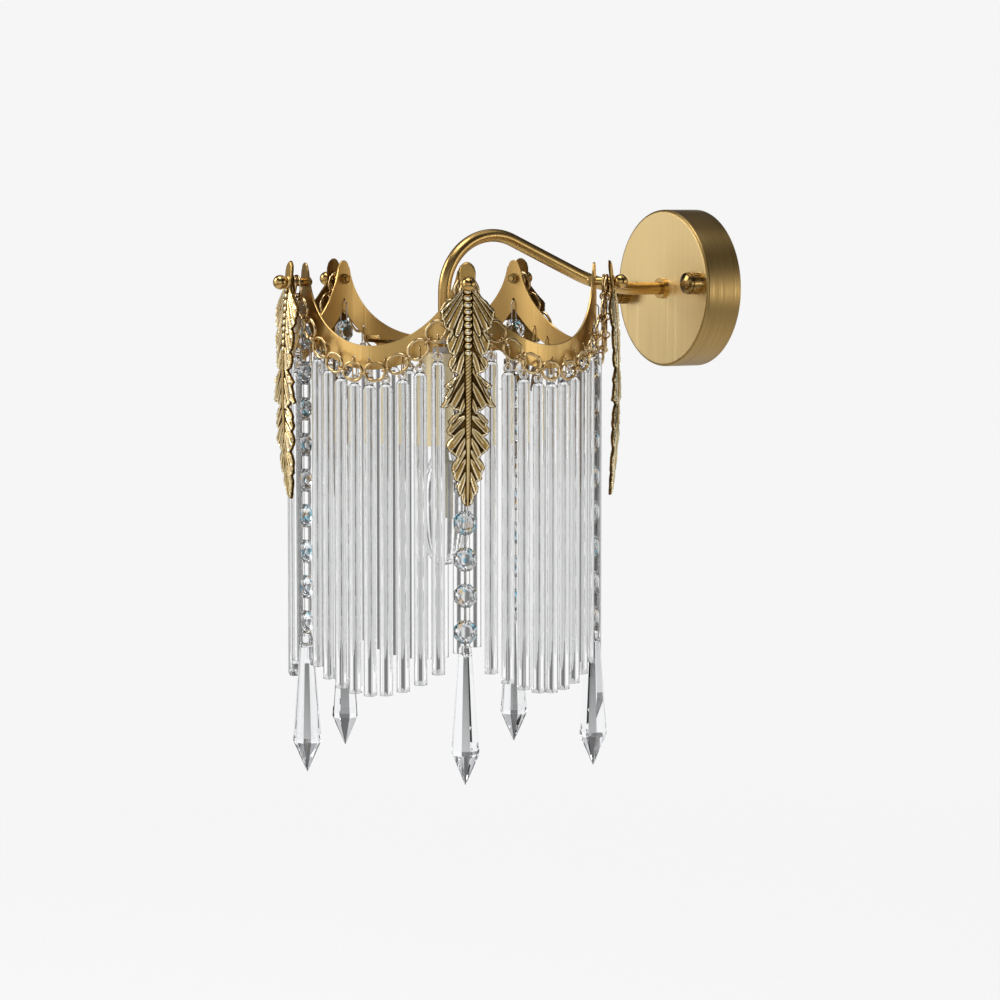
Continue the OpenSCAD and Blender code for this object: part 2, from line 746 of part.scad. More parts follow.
module large_link() {
    bend = (link_w - link_wire) / 2;
    straight = link_l - link_w;
    for (side = [0, 180])
        rotate([0, 0, side]) {
            translate([straight / 2, 0, 0])
                rotate_extrude(angle = 180, start = -90) translate([bend, 0]) circle(d = link_wire, $fn = 24);
            translate([-straight / 2, bend, 0]) rotate([0, 90, 0])
                cylinder(d = link_wire, h = straight, $fn = 24);
        }
}

module small_link() {
    rotate([90, 0, 0]) rotate_extrude() translate([(small_hole_d + small_wire) / 2, 0])
        circle(d = small_wire, $fn = 24);
}

// Lays a link on the cylinder of radius r: along X at a distance s round it, tilted by slope
module lay(s, z, r, slope) {
    rotate([0, 0, s / chain_r * 180 / PI]) translate([r, 0, z])
        rotate([90, 0, 90]) rotate([0, 0, slope]) children();
}

module swag_chain(i) {
    color(brass) at_bay(i) {
        for (k = [0:chain_links - 1])
            lay(link_s(k), link_z(k), link_radius(k), link_tilt(k)) large_link();
        for (k = [0:chain_links - 2])
            lay(small_mid(k)[0], small_mid(k)[1], (link_radius(k) + link_radius(k + 1)) / 2, small_tilt(k))
                small_link();
    }
}

// Glass rods

module glass_rod() {
    neck = eye_d / 2 + 1.4;
    stalk_w = 4;
    difference() {
        union() {
            translate([0, 0, -rod_l]) cylinder(d = rod_d, h = rod_l - neck);
            translate([0, 0, -neck]) cylinder(r1 = rod_d / 2, r2 = eye_t / 2 + 0.6, h = 2.6);
            outward(eye_d, -eye_t / 2, eye_t / 2);
            translate([-eye_t / 2, -stalk_w / 2, -neck + 0.5]) cube([eye_t, stalk_w, 2.6]);
        }
        outward(eye_hole_d, -rod_d, rod_d);
    }
}

module at_rod(i, j) {
    a = rod_angle(j);
    at_bay(i) rotate([0, 0, a]) translate([sheet_r, 0, eye_z(a)]) children();
}

module glass_rods(i) {
    color(clear_glass) for (j = [0:rods_per_bay - 1]) at_rod(i, j) glass_rod();
}

module rod_hooks(i) {
    color(brass) for (j = [0:rods_per_bay - 1])
        at_rod(i, j) wire_loop(hook_w, hook_bottom, hook_top, hook_wire);
}

// Bead strands

module bead() {
    h = bead_af / 2;
    w = table_w / 2;
    e = bead_edge_t / 2;
    t = bead_t / 2;
    difference() {
        intersection_for(k = [0:3])
            rotate([45 * k, 0, 0]) linear_extrude(2 * bead_af, center = true)
                polygon([[t, w], [t, -w], [e, -h], [-e, -h], [-t, -w], [-t, w], [-e, h], [e, h]]);
        for (s = [-1, 1])
            translate([0, 0, s * bead_hole_off]) outward(bead_hole_d, -bead_t, bead_t);
    }
}

module bead_strand(i) {
    color(clear_glass) at_point(i) for (k = [0:beads - 1])
        translate([sheet_r, 0, first_bead_z - k * bead_pitch]) bead();
}

module strand_hooks() {
    color(steel) for (i = [0:points - 1])
        at_point(i) translate([sheet_r, 0, 0])
            wire_loop(strand_loop_w, first_bead_z + bead_hole_off + bead_sit,
                strand_hole_z - strand_hole_sit, strand_wire);
}

module strand_links(i) {
    color(steel) at_point(i) translate([sheet_r, 0, 0]) {
        for (k = [1:beads - 1])
            translate([0, 0, first_bead_z - k * bead_pitch + bead_hole_off])
                wire_loop(strand_loop_w, bead_sit, bead_pitch - 2 * bead_hole_off - bead_sit, strand_wire);
        wire_loop(strand_loop_w, drop_hole_z + drop_sit,
            last_bead_z - bead_hole_off - bead_sit, strand_wire);
    }
}

module drop(i) {
    top = drop_hole_z + drop_hole_y;
    low = top - drop_l;
    shoulder = low + drop_point_l;
    shoulder_r = drop_w / 2 / cos(22.5);
    top_r = drop_top_w / 2 / cos(22.5);
    color(clear_glass) at_point(i) translate([sheet_r, 0, 0]) difference() {
        rotate([0, 0, 22.5]) rotate_extrude($fn = 8)
            polygon([[0, low], [shoulder_r, shoulder], [top_r, top], [0, top]]);
        for (s = [0, 180])
            rotate([0, 0, s]) translate([drop_tongue_t / 2, -drop_w, top - drop_tongue_l])
                cube([drop_w, 2 * drop_w, drop_l]);
        translate([0, 0, drop_hole_z]) outward(drop_hole_d, -drop_w, drop_w);
    }
}

wall_bracket();
canopy_studs();
stud_nuts();
canopy_cover();
canopy_cap_nuts();
arm_tube();
arm_collar();
arm_lock_nut();
terminal_block();
lamp_lead();
spider_bar();
arm_end_nuts();
crown_band();
lamp_holder();
candle_sleeve();
bulb_cap();
bulb_glass();
bulb_filament();
point_screws();
ball_knobs();
point_spacers();
point_nuts();
leaf(0);  // leaf_1
leaf(1);  // leaf_2
leaf(2);  // leaf_3
leaf(3);  // leaf_4
leaf(4);  // leaf_5
swag_chain(0);  // swag_chain_1
swag_chain(1);  // swag_chain_2
swag_chain(2);  // swag_chain_3
swag_chain(3);  // swag_chain_4
swag_chain(4);  // swag_chain_5
rod_hooks(0);  // rod_hooks_1
rod_hooks(1);  // rod_hooks_2
rod_hooks(2);  // rod_hooks_3
rod_hooks(3);  // rod_hooks_4
rod_hooks(4);  // rod_hooks_5
glass_rods(0);  // glass_rods_1
glass_rods(1);  // glass_rods_2
glass_rods(2);  // glass_rods_3
glass_rods(3);  // glass_rods_4
glass_rods(4);  // glass_rods_5
strand_hooks();
bead_strand(0);  // bead_strand_1
bead_strand(1);  // bead_strand_2
bead_strand(2);  // bead_strand_3
bead_strand(3);  // bead_strand_4
bead_strand(4);  // bead_strand_5
strand_links(0);  // strand_links_1
strand_links(1);  // strand_links_2
strand_links(2);  // strand_links_3
strand_links(3);  // strand_links_4
strand_links(4);  // strand_links_5
drop(0);  // drop_1
drop(1);  // drop_2
drop(2);  // drop_3
drop(3);  // drop_4
drop(4);  // drop_5
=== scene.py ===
"""Looks of the glass wall sconce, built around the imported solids: in metres, and in the same frame."""

import math

import bmesh
import bpy
import numpy as np
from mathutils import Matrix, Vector

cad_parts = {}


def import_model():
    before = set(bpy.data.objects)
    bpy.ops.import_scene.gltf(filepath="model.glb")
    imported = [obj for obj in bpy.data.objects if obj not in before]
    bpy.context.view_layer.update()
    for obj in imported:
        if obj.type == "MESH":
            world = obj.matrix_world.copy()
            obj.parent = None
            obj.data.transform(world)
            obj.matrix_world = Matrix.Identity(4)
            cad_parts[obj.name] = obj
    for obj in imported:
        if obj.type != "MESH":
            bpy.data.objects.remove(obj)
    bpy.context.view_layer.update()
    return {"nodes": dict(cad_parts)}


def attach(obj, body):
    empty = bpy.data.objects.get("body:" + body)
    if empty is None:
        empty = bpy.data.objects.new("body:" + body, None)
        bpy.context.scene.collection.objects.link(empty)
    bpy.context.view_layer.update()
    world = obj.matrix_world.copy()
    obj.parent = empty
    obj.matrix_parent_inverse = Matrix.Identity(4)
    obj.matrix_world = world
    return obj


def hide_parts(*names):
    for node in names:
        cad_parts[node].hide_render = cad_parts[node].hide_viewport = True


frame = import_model()
NODES = frame["nodes"]

MM = 0.001

# ---------------------------------------------------------------- sizes as in the part's source (mm, degrees)
POINTS = 5
BAY = 360 / POINTS
HALF_BAY = BAY / 2
TURN = -6.0
REACH = 189.0
LOOSE = 0.3

CANOPY_R = 50.0
CANOPY_DEPTH = 26.0
CANOPY_WALL = 1.2
CANOPY_ROUND = 2.0

TUBE_D = 8.0
TUBE_WALL = 1.0
TUBE_START_Y = -18.8
TUBE_END_Z = -42.0
HUMP_RISE = 34.0
HUMP_R = 35.0
SLOPE = 24.0
EASE_R = 120.0

CROWN_R = 93.4
SHEET_T = 1.2
SHEET_R = CROWN_R - SHEET_T / 2
TOP_EDGE = -30.5
CROWN_RISE = 48.5
BAND_W = 14.2
ARCH_RISE = 32.0
FINGER_W = 3.3
FINGER_R = 3.7
LOW_EDGE = TOP_EDGE - BAND_W
TIP_Z = TOP_EDGE + CROWN_RISE
HALF_CHORD = CROWN_R * math.sin(math.radians(HALF_BAY))
TOP_CHORD = HALF_CHORD - FINGER_W
TOP_CUT_R = (TOP_CHORD**2 + CROWN_RISE**2) / (2 * CROWN_RISE)
LOW_CUT_R = (HALF_CHORD**2 + ARCH_RISE**2) / (2 * ARCH_RISE)
LOW_CUT_Z = LOW_EDGE + LOW_CUT_R
SCREW_Z = 6.3
SCREW_HOLE_R = 1.6
STRAND_HOLE_Z = SCREW_Z - 13.3
STRAND_HOLE_R = 1.0

LEAF_L = 143.5
LEAF_T = 1.6
LEAF_SCREW = 13.0
LEAF_SEAT_R = CROWN_R + 9.6
LEAF_BOW = 600.0
LEAF_BOW_Z = SCREW_Z + LEAF_SCREW - LEAF_L / 2 - 2
LEAF_BACK_R = LEAF_SEAT_R + LEAF_BOW - math.sqrt(LEAF_BOW**2 - (SCREW_Z - LEAF_BOW_Z) ** 2)
LEAF_FRONT_R = LEAF_SEAT_R + LEAF_T + 0.8
KNOB_D = 8.8
KNOB_STAND = KNOB_D * 0.42

RODS = 9
ROD_STEP = BAY / (RODS + 2)
ROD_D = 8.0
ROD_L = 188.0
EYE_D = 6.4
EYE_T = 2.6
EYE_HOLE = 2.4
EYE_DROP = 3.3
ROD_NECK = EYE_D / 2 + 1.4
HOOK_L = 12.9
HOOK_HOLE_R = 0.9

BEADS = 9
BEAD_PITCH = 21.6
BEAD_AF = 14.0
BEAD_T = 6.0
BEAD_GIRDLE = 1.2
BEAD_HOLE = 5.1
BEAD_HOLE_R = 1.3
FIRST_BEAD = -26.9

DROP_HOLE_Z = -213.6
DROP_HOLE_R = 1.4
DROP_TOP = DROP_HOLE_Z + 5.5
DROP_L = 83.0
DROP_POINT = 19.0
DROP_W = 16.0

# Half of the leaf's outline: (down from the leaf's top, half width)
LEAF_OUTLINE = [
    (0.2, 0.9), (1.2, 2.6), (3, 4.2), (6, 5), (10, 4.8), (14, 4.4), (17.5, 5.8), (21, 8.8),
    (24.5, 12.2), (27.5, 15.4), (29.5, 16.4), (31, 15.8), (33, 15.9), (35.5, 14.4), (37.5, 14.9),
    (39.5, 13), (40.7, 10.4), (43, 12.4), (46, 13.3), (50, 12.6), (53.5, 11.2), (54.6, 8.8),
    (57, 11.2), (60.5, 12), (64.2, 9.8), (65.6, 6), (68.6, 9.6), (72.4, 14.6), (75, 11.6), (79, 14),
    (81.4, 14.2), (84.8, 16.6), (85.6, 13.2), (84, 10.6), (86.6, 8.6), (87.4, 5.6), (89.5, 9),
    (93, 12), (95.5, 11.2), (98.5, 13), (101.3, 11.4), (102.4, 9.2), (104.5, 11.8), (107.5, 13),
    (110.5, 11.6), (112, 9.6), (114.6, 6.6), (117.5, 9), (121, 10), (124, 8.6), (127.5, 8.4),
    (129.5, 5.2), (132, 6.6), (135, 6), (138, 4), (140.8, 3.4), (143, 1.6), (143.5, 0.4),
]

# Leaflets of one side, lowest first: three points (across, down) from the midrib to the tip, and half width
LEAFLETS = [
    ((0.8, 128), (2.2, 134), (2.6, 141.2), 1.2), ((0.8, 122), (3.0, 128), (5.4, 135.6), 1.6),
    ((0.9, 115), (4.2, 119), (7.6, 128.0), 1.9), ((0.9, 110), (4.8, 113), (9.2, 122.2), 2.1),
    ((1.1, 102), (3.2, 106), (6.6, 113.6), 1.6), ((1.1, 97), (5.0, 100), (11.4, 109.6), 2.4),
    ((1.1, 90), (5.6, 92), (12.0, 99.6), 2.2), ((1.1, 84), (5.2, 85), (11.0, 93.6), 2.1),
    ((1.3, 78), (2.4, 82), (4.8, 88.0), 1.4), ((1.3, 69), (4.2, 75), (9.8, 85.4), 1.9),
    ((1.4, 62), (7.4, 66), (15.6, 84.4), 2.7), ((1.4, 59), (6.8, 61), (12.9, 78.2), 2.2),
    ((1.4, 55), (6.2, 58), (10.8, 71.8), 2.0), ((1.5, 51), (3.6, 55), (6.2, 65.0), 1.6),
    ((1.5, 43), (6.0, 47), (11.3, 61.0), 2.4), ((1.5, 39), (4.6, 43), (8.2, 54.4), 1.6),
    ((1.6, 32), (6.4, 36), (12.0, 52.2), 2.5), ((1.6, 28), (7.0, 30), (12.6, 45.0), 2.2),
    ((1.6, 28), (3.4, 33), (6.6, 42.6), 1.6), ((1.6, 22), (5.4, 26), (10.6, 39.8), 1.9),
    ((1.6, 19), (7.2, 21), (14.2, 36.6), 2.3), ((1.6, 16), (7.0, 17), (15.3, 32.4), 2.2),
    ((1.2, 13), (7.0, 15), (15.4, 28.4), 1.9),
]


def point_az(i):
    """Direction of a crown point about the shade's axis."""
    return -90 + TURN + BAY * i


def rod_angle(j):
    """A rod's angle from the middle of its bay."""
    return (j + 1.5) * ROD_STEP - HALF_BAY


def low_edge(a):
    """Height of the band's lower edge at an angle from the middle of a bay."""
    s = CROWN_R * math.sin(math.radians(a))
    return LOW_CUT_Z - math.sqrt(LOW_CUT_R**2 - s * s)


def top_edge(a):
    """Height of the band's upper edge there: a round cut between two fingers, and the fingers' round tips."""
    s = CROWN_R * math.sin(math.radians(a))
    z = TIP_Z
    inside = TOP_CUT_R**2 - s * s
    if inside > 0:
        z = min(z, TOP_EDGE + TOP_CUT_R - math.sqrt(inside))
    off = abs(CROWN_R * math.sin(math.radians(HALF_BAY - abs(a))))
    if off < 2 * FINGER_R:
        z = min(z, TIP_Z - FINGER_R + math.sqrt(max(0.0, FINGER_R**2 - off * off)))
    return z


def eye_z(a):
    """Height of a rod's eye, which hangs below the band's lower edge."""
    slope = math.asin(CROWN_R * math.sin(math.radians(a)) / LOW_CUT_R)
    return low_edge(a) - EYE_DROP + LOOSE - (EYE_D / 2 + LOOSE) / math.cos(slope)


# ---------------------------------------------------------------- shader helpers
NOISE_LOW, NOISE_HIGH = 0.3, 0.7  # most of a noise lies between these


def cleared_tree(owner):
    owner.use_nodes = True
    owner.node_tree.nodes.clear()
    return owner.node_tree


def new_material(name):
    mat = bpy.data.materials.new(name)
    tree = cleared_tree(mat)
    out = tree.nodes.new("ShaderNodeOutputMaterial")
    bsdf = tree.nodes.new("ShaderNodeBsdfPrincipled")
    tree.links.new(bsdf.outputs[0], out.inputs[0])
    return mat, tree, bsdf


def coords(tree, scale):
    """Object coordinates, stretched by one number or by three, for X, Y and Z."""
    tex = tree.nodes.new("ShaderNodeTexCoord")
    stretch = tree.nodes.new("ShaderNodeMapping")
    stretch.inputs["Scale"].default_value = scale if isinstance(scale, tuple) else (scale, scale, scale)
    tree.links.new(tex.outputs["Object"], stretch.inputs["Vector"])
    return stretch.outputs["Vector"]


def noise(tree, scale, detail, roughness):
    """Noise that changes about scale times per metre."""
    vector = coords(tree, scale)
    n = tree.nodes.new("ShaderNodeTexNoise")
    n.inputs["Scale"].default_value = 1.0
    n.inputs["Detail"].default_value = detail
    n.inputs["Roughness"].default_value = roughness
    tree.links.new(vector, n.inputs["Vector"])
    return n.outputs["Fac"]


def ramp(tree, fac, stops):
    n = tree.nodes.new("ShaderNodeValToRGB")
    while len(n.color_ramp.elements) < len(stops):
        n.color_ramp.elements.new(0.5)
    for e, (pos, col) in zip(n.color_ramp.elements, stops):
        e.position = pos
        e.color = (*col, 1)
    tree.links.new(fac, n.inputs["Fac"])
    return n.outputs["Color"]


def two_tone(tree, fac, dark, light):
    return ramp(tree, fac, [(NOISE_LOW, dark), (NOISE_HIGH, light)])


def map_range(tree, value, to_lo, to_hi, from_lo=0.0, from_hi=1.0):
    n = tree.nodes.new("ShaderNodeMapRange")
    n.inputs["From Min"].default_value = from_lo
    n.inputs["From Max"].default_value = from_hi
    n.inputs["To Min"].default_value = to_lo
    n.inputs["To Max"].default_value = to_hi
    tree.links.new(value, n.inputs["Value"])
    return n.outputs["Result"]


def math_node(tree, op, a, b=None, clamp=False):
    n = tree.nodes.new("ShaderNodeMath")
    n.operation = op
    n.use_clamp = clamp
    for k, v in enumerate((a, b)):
        if isinstance(v, (int, float)):
            n.inputs[k].default_value = v
        elif v is not None:
            tree.links.new(v, n.inputs[k])
    return n.outputs[0]


def plus(tree, a, b, clamp=False):
    return math_node(tree, "ADD", a, b, clamp)


def times(tree, a, b):
    return math_node(tree, "MULTIPLY", a, b)


def centred(tree, fac, amount):
    """A noise turned into a change about zero."""
    return times(tree, math_node(tree, "SUBTRACT", fac, 0.5), amount)


def mix_color(tree, fac, a, b, kind="MIX"):
    n = tree.nodes.new("ShaderNodeMix")
    n.data_type = "RGBA"
    n.blend_type = kind
    for socket, v in ((n.inputs[0], fac), (n.inputs[6], a), (n.inputs[7], b)):  # 6 and 7 are the colours
        if isinstance(v, (int, float)):
            socket.default_value = v
        elif isinstance(v, tuple):
            socket.default_value = (*v, 1)
        else:
            tree.links.new(v, socket)
    return n.outputs[2]


def mix_shader(tree, fac, a, b):
    n = tree.nodes.new("ShaderNodeMixShader")
    for k, v in enumerate((fac, a, b)):
        tree.links.new(v, n.inputs[k])
    return n.outputs[0]


def bump(tree, bsdf, height, distance, strength):
    n = tree.nodes.new("ShaderNodeBump")
    n.inputs["Strength"].default_value = strength
    n.inputs["Distance"].default_value = distance
    tree.links.new(height, n.inputs["Height"])
    tree.links.new(n.outputs[0], bsdf.inputs["Normal"])


# ---------------------------------------------------------------- materials
def brushed_metal(name, light, dark, brush, rough=(0.26, 0.42), aniso=0.5, axis="Z", turn=0.25, depth=2e-5):
    """Metal with fine lines. brush gives how quickly the lines change along X, Y and Z, per metre, rough the
    roughness of the light and of the dark lines; axis and turn give the way that highlights are drawn out."""
    mat, tree, bsdf = new_material(name)
    fine = noise(tree, brush, detail=4, roughness=0.65)
    soft = noise(tree, 18, detail=2, roughness=0.5)
    both = plus(tree, times(tree, fine, 0.65), times(tree, soft, 0.35))
    tree.links.new(ramp(tree, both, [(NOISE_LOW, dark), (0.68, light)]), bsdf.inputs["Base Color"])
    tree.links.new(map_range(tree, fine, rough[1], rough[0], NOISE_LOW, NOISE_HIGH), bsdf.inputs["Roughness"])
    bump(tree, bsdf, fine, depth, strength=0.6)
    bsdf.inputs["Metallic"].default_value = 1.0
    bsdf.inputs["Anisotropic"].default_value = aniso
    bsdf.inputs["Anisotropic Rotation"].default_value = turn
    tangent = tree.nodes.new("ShaderNodeTangent")
    tangent.direction_type = "RADIAL"
    tangent.axis = axis
    tree.links.new(tangent.outputs[0], bsdf.inputs["Tangent"])
    return mat


def polished_metal(name, light, dark, rough=(0.12, 0.26), grain=320, depth=1e-5):
    mat, tree, bsdf = new_material(name)
    cloud = noise(tree, 60, detail=3, roughness=0.55)
    fine = noise(tree, grain, detail=3, roughness=0.6)
    tree.links.new(two_tone(tree, cloud, dark, light), bsdf.inputs["Base Color"])
    tree.links.new(map_range(tree, fine, rough[0], rough[1], NOISE_LOW, NOISE_HIGH), bsdf.inputs["Roughness"])
    bump(tree, bsdf, fine, depth, strength=0.5)
    bsdf.inputs["Metallic"].default_value = 1.0
    return mat


# Leaf tones from dark to bright: the near black end is patina with painted shade in the grooves, and the near
# white end is a painted highlight on the ridges
LEAF_TONES = [
    (0.0, (0.015, 0.008, 0.002)), (0.2, (0.2, 0.11, 0.03)), (0.5, (0.62, 0.4, 0.13)),
    (0.78, (0.85, 0.69, 0.36)), (1.0, (1.0, 0.95, 0.78)),
]


def leaf_metal(name):
    """Antique gold: dark brown patina where the leaf lies deep, deepened into painted shade, and bright where
    it stands up, with a painted highlight on the ridges, as its relief says.
    """
    mat, tree, bsdf = new_material(name)
    relief = tree.nodes.new("ShaderNodeAttribute")
    relief.attribute_name = "relief"
    grain = noise(tree, 700, detail=4, roughness=0.6)
    cloud = noise(tree, 90, detail=2, roughness=0.5)
    wear_and_painted_light = plus(tree, relief.outputs["Fac"], centred(tree, grain, 0.28))
    wear_and_painted_light = plus(tree, wear_and_painted_light, centred(tree, cloud, 0.2), clamp=True)
    tree.links.new(ramp(tree, wear_and_painted_light, LEAF_TONES), bsdf.inputs["Base Color"])
    tree.links.new(map_range(tree, wear_and_painted_light, 0.55, 0.2), bsdf.inputs["Roughness"])
    bump(tree, bsdf, grain, 6e-5, strength=0.5)
    bsdf.inputs["Metallic"].default_value = 1.0
    return mat


def clear_glass(name, colour, streak, depth, ior=1.5):
    """Smooth glass with faint streaks: streak gives how quickly they change along X, Y and Z, per metre."""
    mat, tree, bsdf = new_material(name)
    pale = tuple(min(1.0, c * 1.02) for c in colour)
    cloud = noise(tree, 30, detail=2, roughness=0.5)
    tree.links.new(two_tone(tree, cloud, colour, pale), bsdf.inputs["Base Color"])
    bsdf.inputs["Transmission Weight"].default_value = 1.0
    bsdf.inputs["Roughness"].default_value = 0.0
    bsdf.inputs["IOR"].default_value = ior
    bump(tree, bsdf, noise(tree, streak, detail=3, roughness=0.6), depth, strength=0.6)
    return mat


def cut_glass(name, ior, clarity, painted_fire):
    """Crystal: clear, with small painted patches of blue and amber that stand in for the colours its facets
    split from the light.
    """
    mat, tree, bsdf = new_material(name)
    cells = tree.nodes.new("ShaderNodeTexVoronoi")
    cells.inputs["Scale"].default_value = 1.0
    tree.links.new(coords(tree, 340), cells.inputs["Vector"])
    split = tree.nodes.new("ShaderNodeSeparateColor")
    tree.links.new(cells.outputs["Color"], split.inputs[0])
    c = clarity
    clear = (c, c * 1.01, c * 1.02)
    blue = (c * (1 - 0.8 * painted_fire), c * (1 - 0.3 * painted_fire), c)
    amber = (c, c * (1 - 0.35 * painted_fire), c * (1 - 0.7 * painted_fire))
    # Blue and amber cells are painted glints of split light
    patches = [(0.0, blue), (0.07, blue), (0.1, clear), (0.9, clear), (0.93, amber), (1.0, amber)]
    tree.links.new(ramp(tree, split.outputs[0], patches), bsdf.inputs["Base Color"])
    bsdf.inputs["Transmission Weight"].default_value = 1.0
    bsdf.inputs["Roughness"].default_value = 0.0
    bsdf.inputs["IOR"].default_value = ior
    bump(tree, bsdf, noise(tree, 200, detail=2, roughness=0.5), 4e-6, strength=0.4)
    return mat


def plain_surface(name, colour, rough, grain, metallic=0.0):
    mat, tree, bsdf = new_material(name)
    fine = noise(tree, grain, detail=4, roughness=0.6)
    dark = tuple(c * 0.88 for c in colour)
    tree.links.new(two_tone(tree, fine, dark, colour), bsdf.inputs["Base Color"])
    tree.links.new(map_range(tree, fine, rough * 0.85, rough * 1.2), bsdf.inputs["Roughness"])
    bump(tree, bsdf, fine, 2e-5, strength=0.5)
    bsdf.inputs["Metallic"].default_value = metallic
    return mat


MATERIALS = {
    "band": brushed_metal(
        "brass_brushed_upright", (0.64, 0.42, 0.15), (0.57, 0.36, 0.12), (900, 900, 12), depth=1.2e-5),
    # The canopy's face and rim are one brass: the face's pale colour is painted light, and the rim's dark
    # colour painted shade
    "canopy_face": brushed_metal(
        "brass_brushed_face_lit", (0.88, 0.66, 0.32), (0.85, 0.63, 0.3), (420, 24, 6),
        axis="Y", turn=0.0, aniso=0.15, depth=4e-6),
    "canopy_rim": brushed_metal(
        "brass_brushed_rim_shaded", (0.4, 0.266, 0.099), (0.32, 0.205, 0.069), (8, 900, 8),
        axis="Y", turn=0.0, aniso=0.6, depth=6e-6),
    "tube": polished_metal(
        "brass_satin_tube", (0.52, 0.34, 0.12), (0.48, 0.3, 0.1), rough=(0.24, 0.3), grain=90, depth=5e-7),
    "polished": polished_metal("brass_polished", (0.58, 0.38, 0.14), (0.42, 0.26, 0.08), rough=(0.08, 0.2)),
    # Cap nuts and point nuts: the same brass, darkened as painted shade
    "nut": polished_metal("brass_shaded", (0.3, 0.19, 0.065), (0.19, 0.12, 0.04), rough=(0.1, 0.22)),
    "leaf": leaf_metal("gold_patina_painted_light"),
    "chain": polished_metal("gold_chain", (0.78, 0.6, 0.33), (0.46, 0.3, 0.12), rough=(0.1, 0.22)),
    "hook": polished_metal("gold_wire", (0.7, 0.52, 0.26), (0.4, 0.27, 0.12), rough=(0.12, 0.26)),
    "silver": polished_metal("silver_wire", (0.5, 0.49, 0.47), (0.32, 0.31, 0.3), rough=(0.08, 0.2)),
    "steel": brushed_metal(
        "zinc_steel", (0.72, 0.73, 0.75), (0.52, 0.53, 0.56), (300, 300, 300), rough=(0.25, 0.45), aniso=0.0),
    "rod": clear_glass("glass_rod", (0.985, 0.99, 0.99), (700, 700, 4), depth=1.6e-5),
    # The beads' grey tint is painted shade: it stands in for the dark seen through the glass
    "bead": cut_glass("glass_bead", ior=1.66, clarity=0.74, painted_fire=1.0),
    "drop": cut_glass("glass_drop", ior=1.54, clarity=0.97, painted_fire=0.0),
    "bulb": clear_glass("glass_bulb", (0.985, 0.985, 0.98), (60, 60, 60), depth=1e-5, ior=1.45),
    # The sleeve's colour is raised as painted light, to make up for the light that the rods keep off it
    "sleeve": plain_surface("sleeve_gold", (1.0, 0.86, 0.55), rough=0.36, grain=400, metallic=1.0),
    "plastic": plain_surface("holder_plastic", (0.8, 0.79, 0.74), rough=0.5, grain=500),
    "cap": polished_metal("cap_metal", (0.78, 0.78, 0.78), (0.6, 0.6, 0.6), rough=(0.2, 0.4)),
    "stick": plain_surface("light_stick", (0.88, 0.84, 0.68), rough=0.6, grain=900),
}


# ---------------------------------------------------------------- mesh helpers
X_AXIS, Y_AXIS, Z_AXIS = np.eye(3)
ORIGIN = np.zeros(3)
TUBE_SIDES, ROD_SIDES, HOLE_SIDES = 48, 32, 16
HOLE_CUT = 6.0  # half the length of the bar that cuts a hole


def mesh_object(name, verts, faces):
    mesh = bpy.data.meshes.new(name)
    mesh.from_pydata([tuple(v) for v in verts], [], [tuple(f) for f in faces])
    obj = bpy.data.objects.new(name, mesh)
    bpy.context.scene.collection.objects.link(obj)
    return obj


def weld(obj, distance):
    """Makes one of the corners that lie within a distance, in metres, and turns all faces outward."""
    bm = bmesh.new()
    bm.from_mesh(obj.data)
    bmesh.ops.remove_doubles(bm, verts=bm.verts, dist=distance)
    bmesh.ops.dissolve_degenerate(bm, edges=bm.edges, dist=distance)
    bmesh.ops.recalc_face_normals(bm, faces=bm.faces)
    bm.to_mesh(obj.data)
    bm.free()
    obj.data.update()


def make(name, verts, faces, mats, body, replaces, smooth, welded=1e-8, kinds=None, relief=None):
    """A piece that rides on a body and stands for CAD nodes. Edges of less than smooth degrees look round,
    and none do at 0. kinds gives each face's place in mats, and relief the tone of a leaf's corners."""
    obj = mesh_object(name, verts, faces)
    mesh = obj.data
    for mat in mats:
        mesh.materials.append(MATERIALS[mat])
    if kinds is not None:
        mesh.polygons.foreach_set("material_index", np.array(kinds, np.int32))
    if relief is not None:
        tones = mesh.attributes.new("relief", "FLOAT", "POINT").data
        tones.foreach_set("value", np.array(relief, np.float32))
    mesh.validate()
    mesh.update()
    if smooth:
        mesh.shade_smooth()
        mesh.set_sharp_from_angle(angle=math.radians(smooth))
    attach(obj, body)
    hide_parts(*replaces)
    if welded:
        weld(obj, welded)


def merge(parts):
    """Joins (verts, faces) pairs into one."""
    verts, faces, start = [], [], 0
    for v, f in parts:
        verts.append(v)
        faces += [tuple(k + start for k in face) for face in f]
        start += len(v)
    return np.vstack(verts), faces


def faces_round(sections, n, closed=True):
    """Faces between sections of n points that stand all round an axis, each a closed loop or a line."""
    faces = []
    for k in range(sections):
        after = (k + 1) % sections
        for p in range(n if closed else n - 1):
            q = (p + 1) % n
            faces.append((k * n + p, after * n + p, after * n + q, k * n + q))
    return faces


def lathe(profile, segments, closed=False):
    """Turns (radius, height) points about Z. A closed profile makes a ring, an open one ends on the axis."""
    verts = []
    for k in range(segments):
        a = 2 * math.pi * k / segments
        verts += [(r * math.cos(a), r * math.sin(a), h) for r, h in profile]
    return np.array(verts), faces_round(segments, len(profile), closed)


def ring_of(centre, side, up, radius_a, radius_b, segments):
    t = np.linspace(0, 2 * np.pi, segments, endpoint=False)
    return centre + np.outer(np.cos(t) * radius_a, side) + np.outer(np.sin(t) * radius_b, up)


def loft(rings, cap=True):
    """Joins rings of equal count into a tube, with its ends closed by fans to their middles."""
    n = len(rings[0])
    top = (len(rings) - 1) * n
    base = top + n
    faces = []
    for k in range(len(rings) - 1):
        for i in range(n):
            j = (i + 1) % n
            faces.append((k * n + i, k * n + j, (k + 1) * n + j, (k + 1) * n + i))
    if not cap:
        return np.vstack(rings), faces
    for i in range(n):
        j = (i + 1) % n
        faces += [(base, j, i), (base + 1, top + i, top + j)]
    return np.vstack([*rings, rings[0].mean(0), rings[-1].mean(0)]), faces


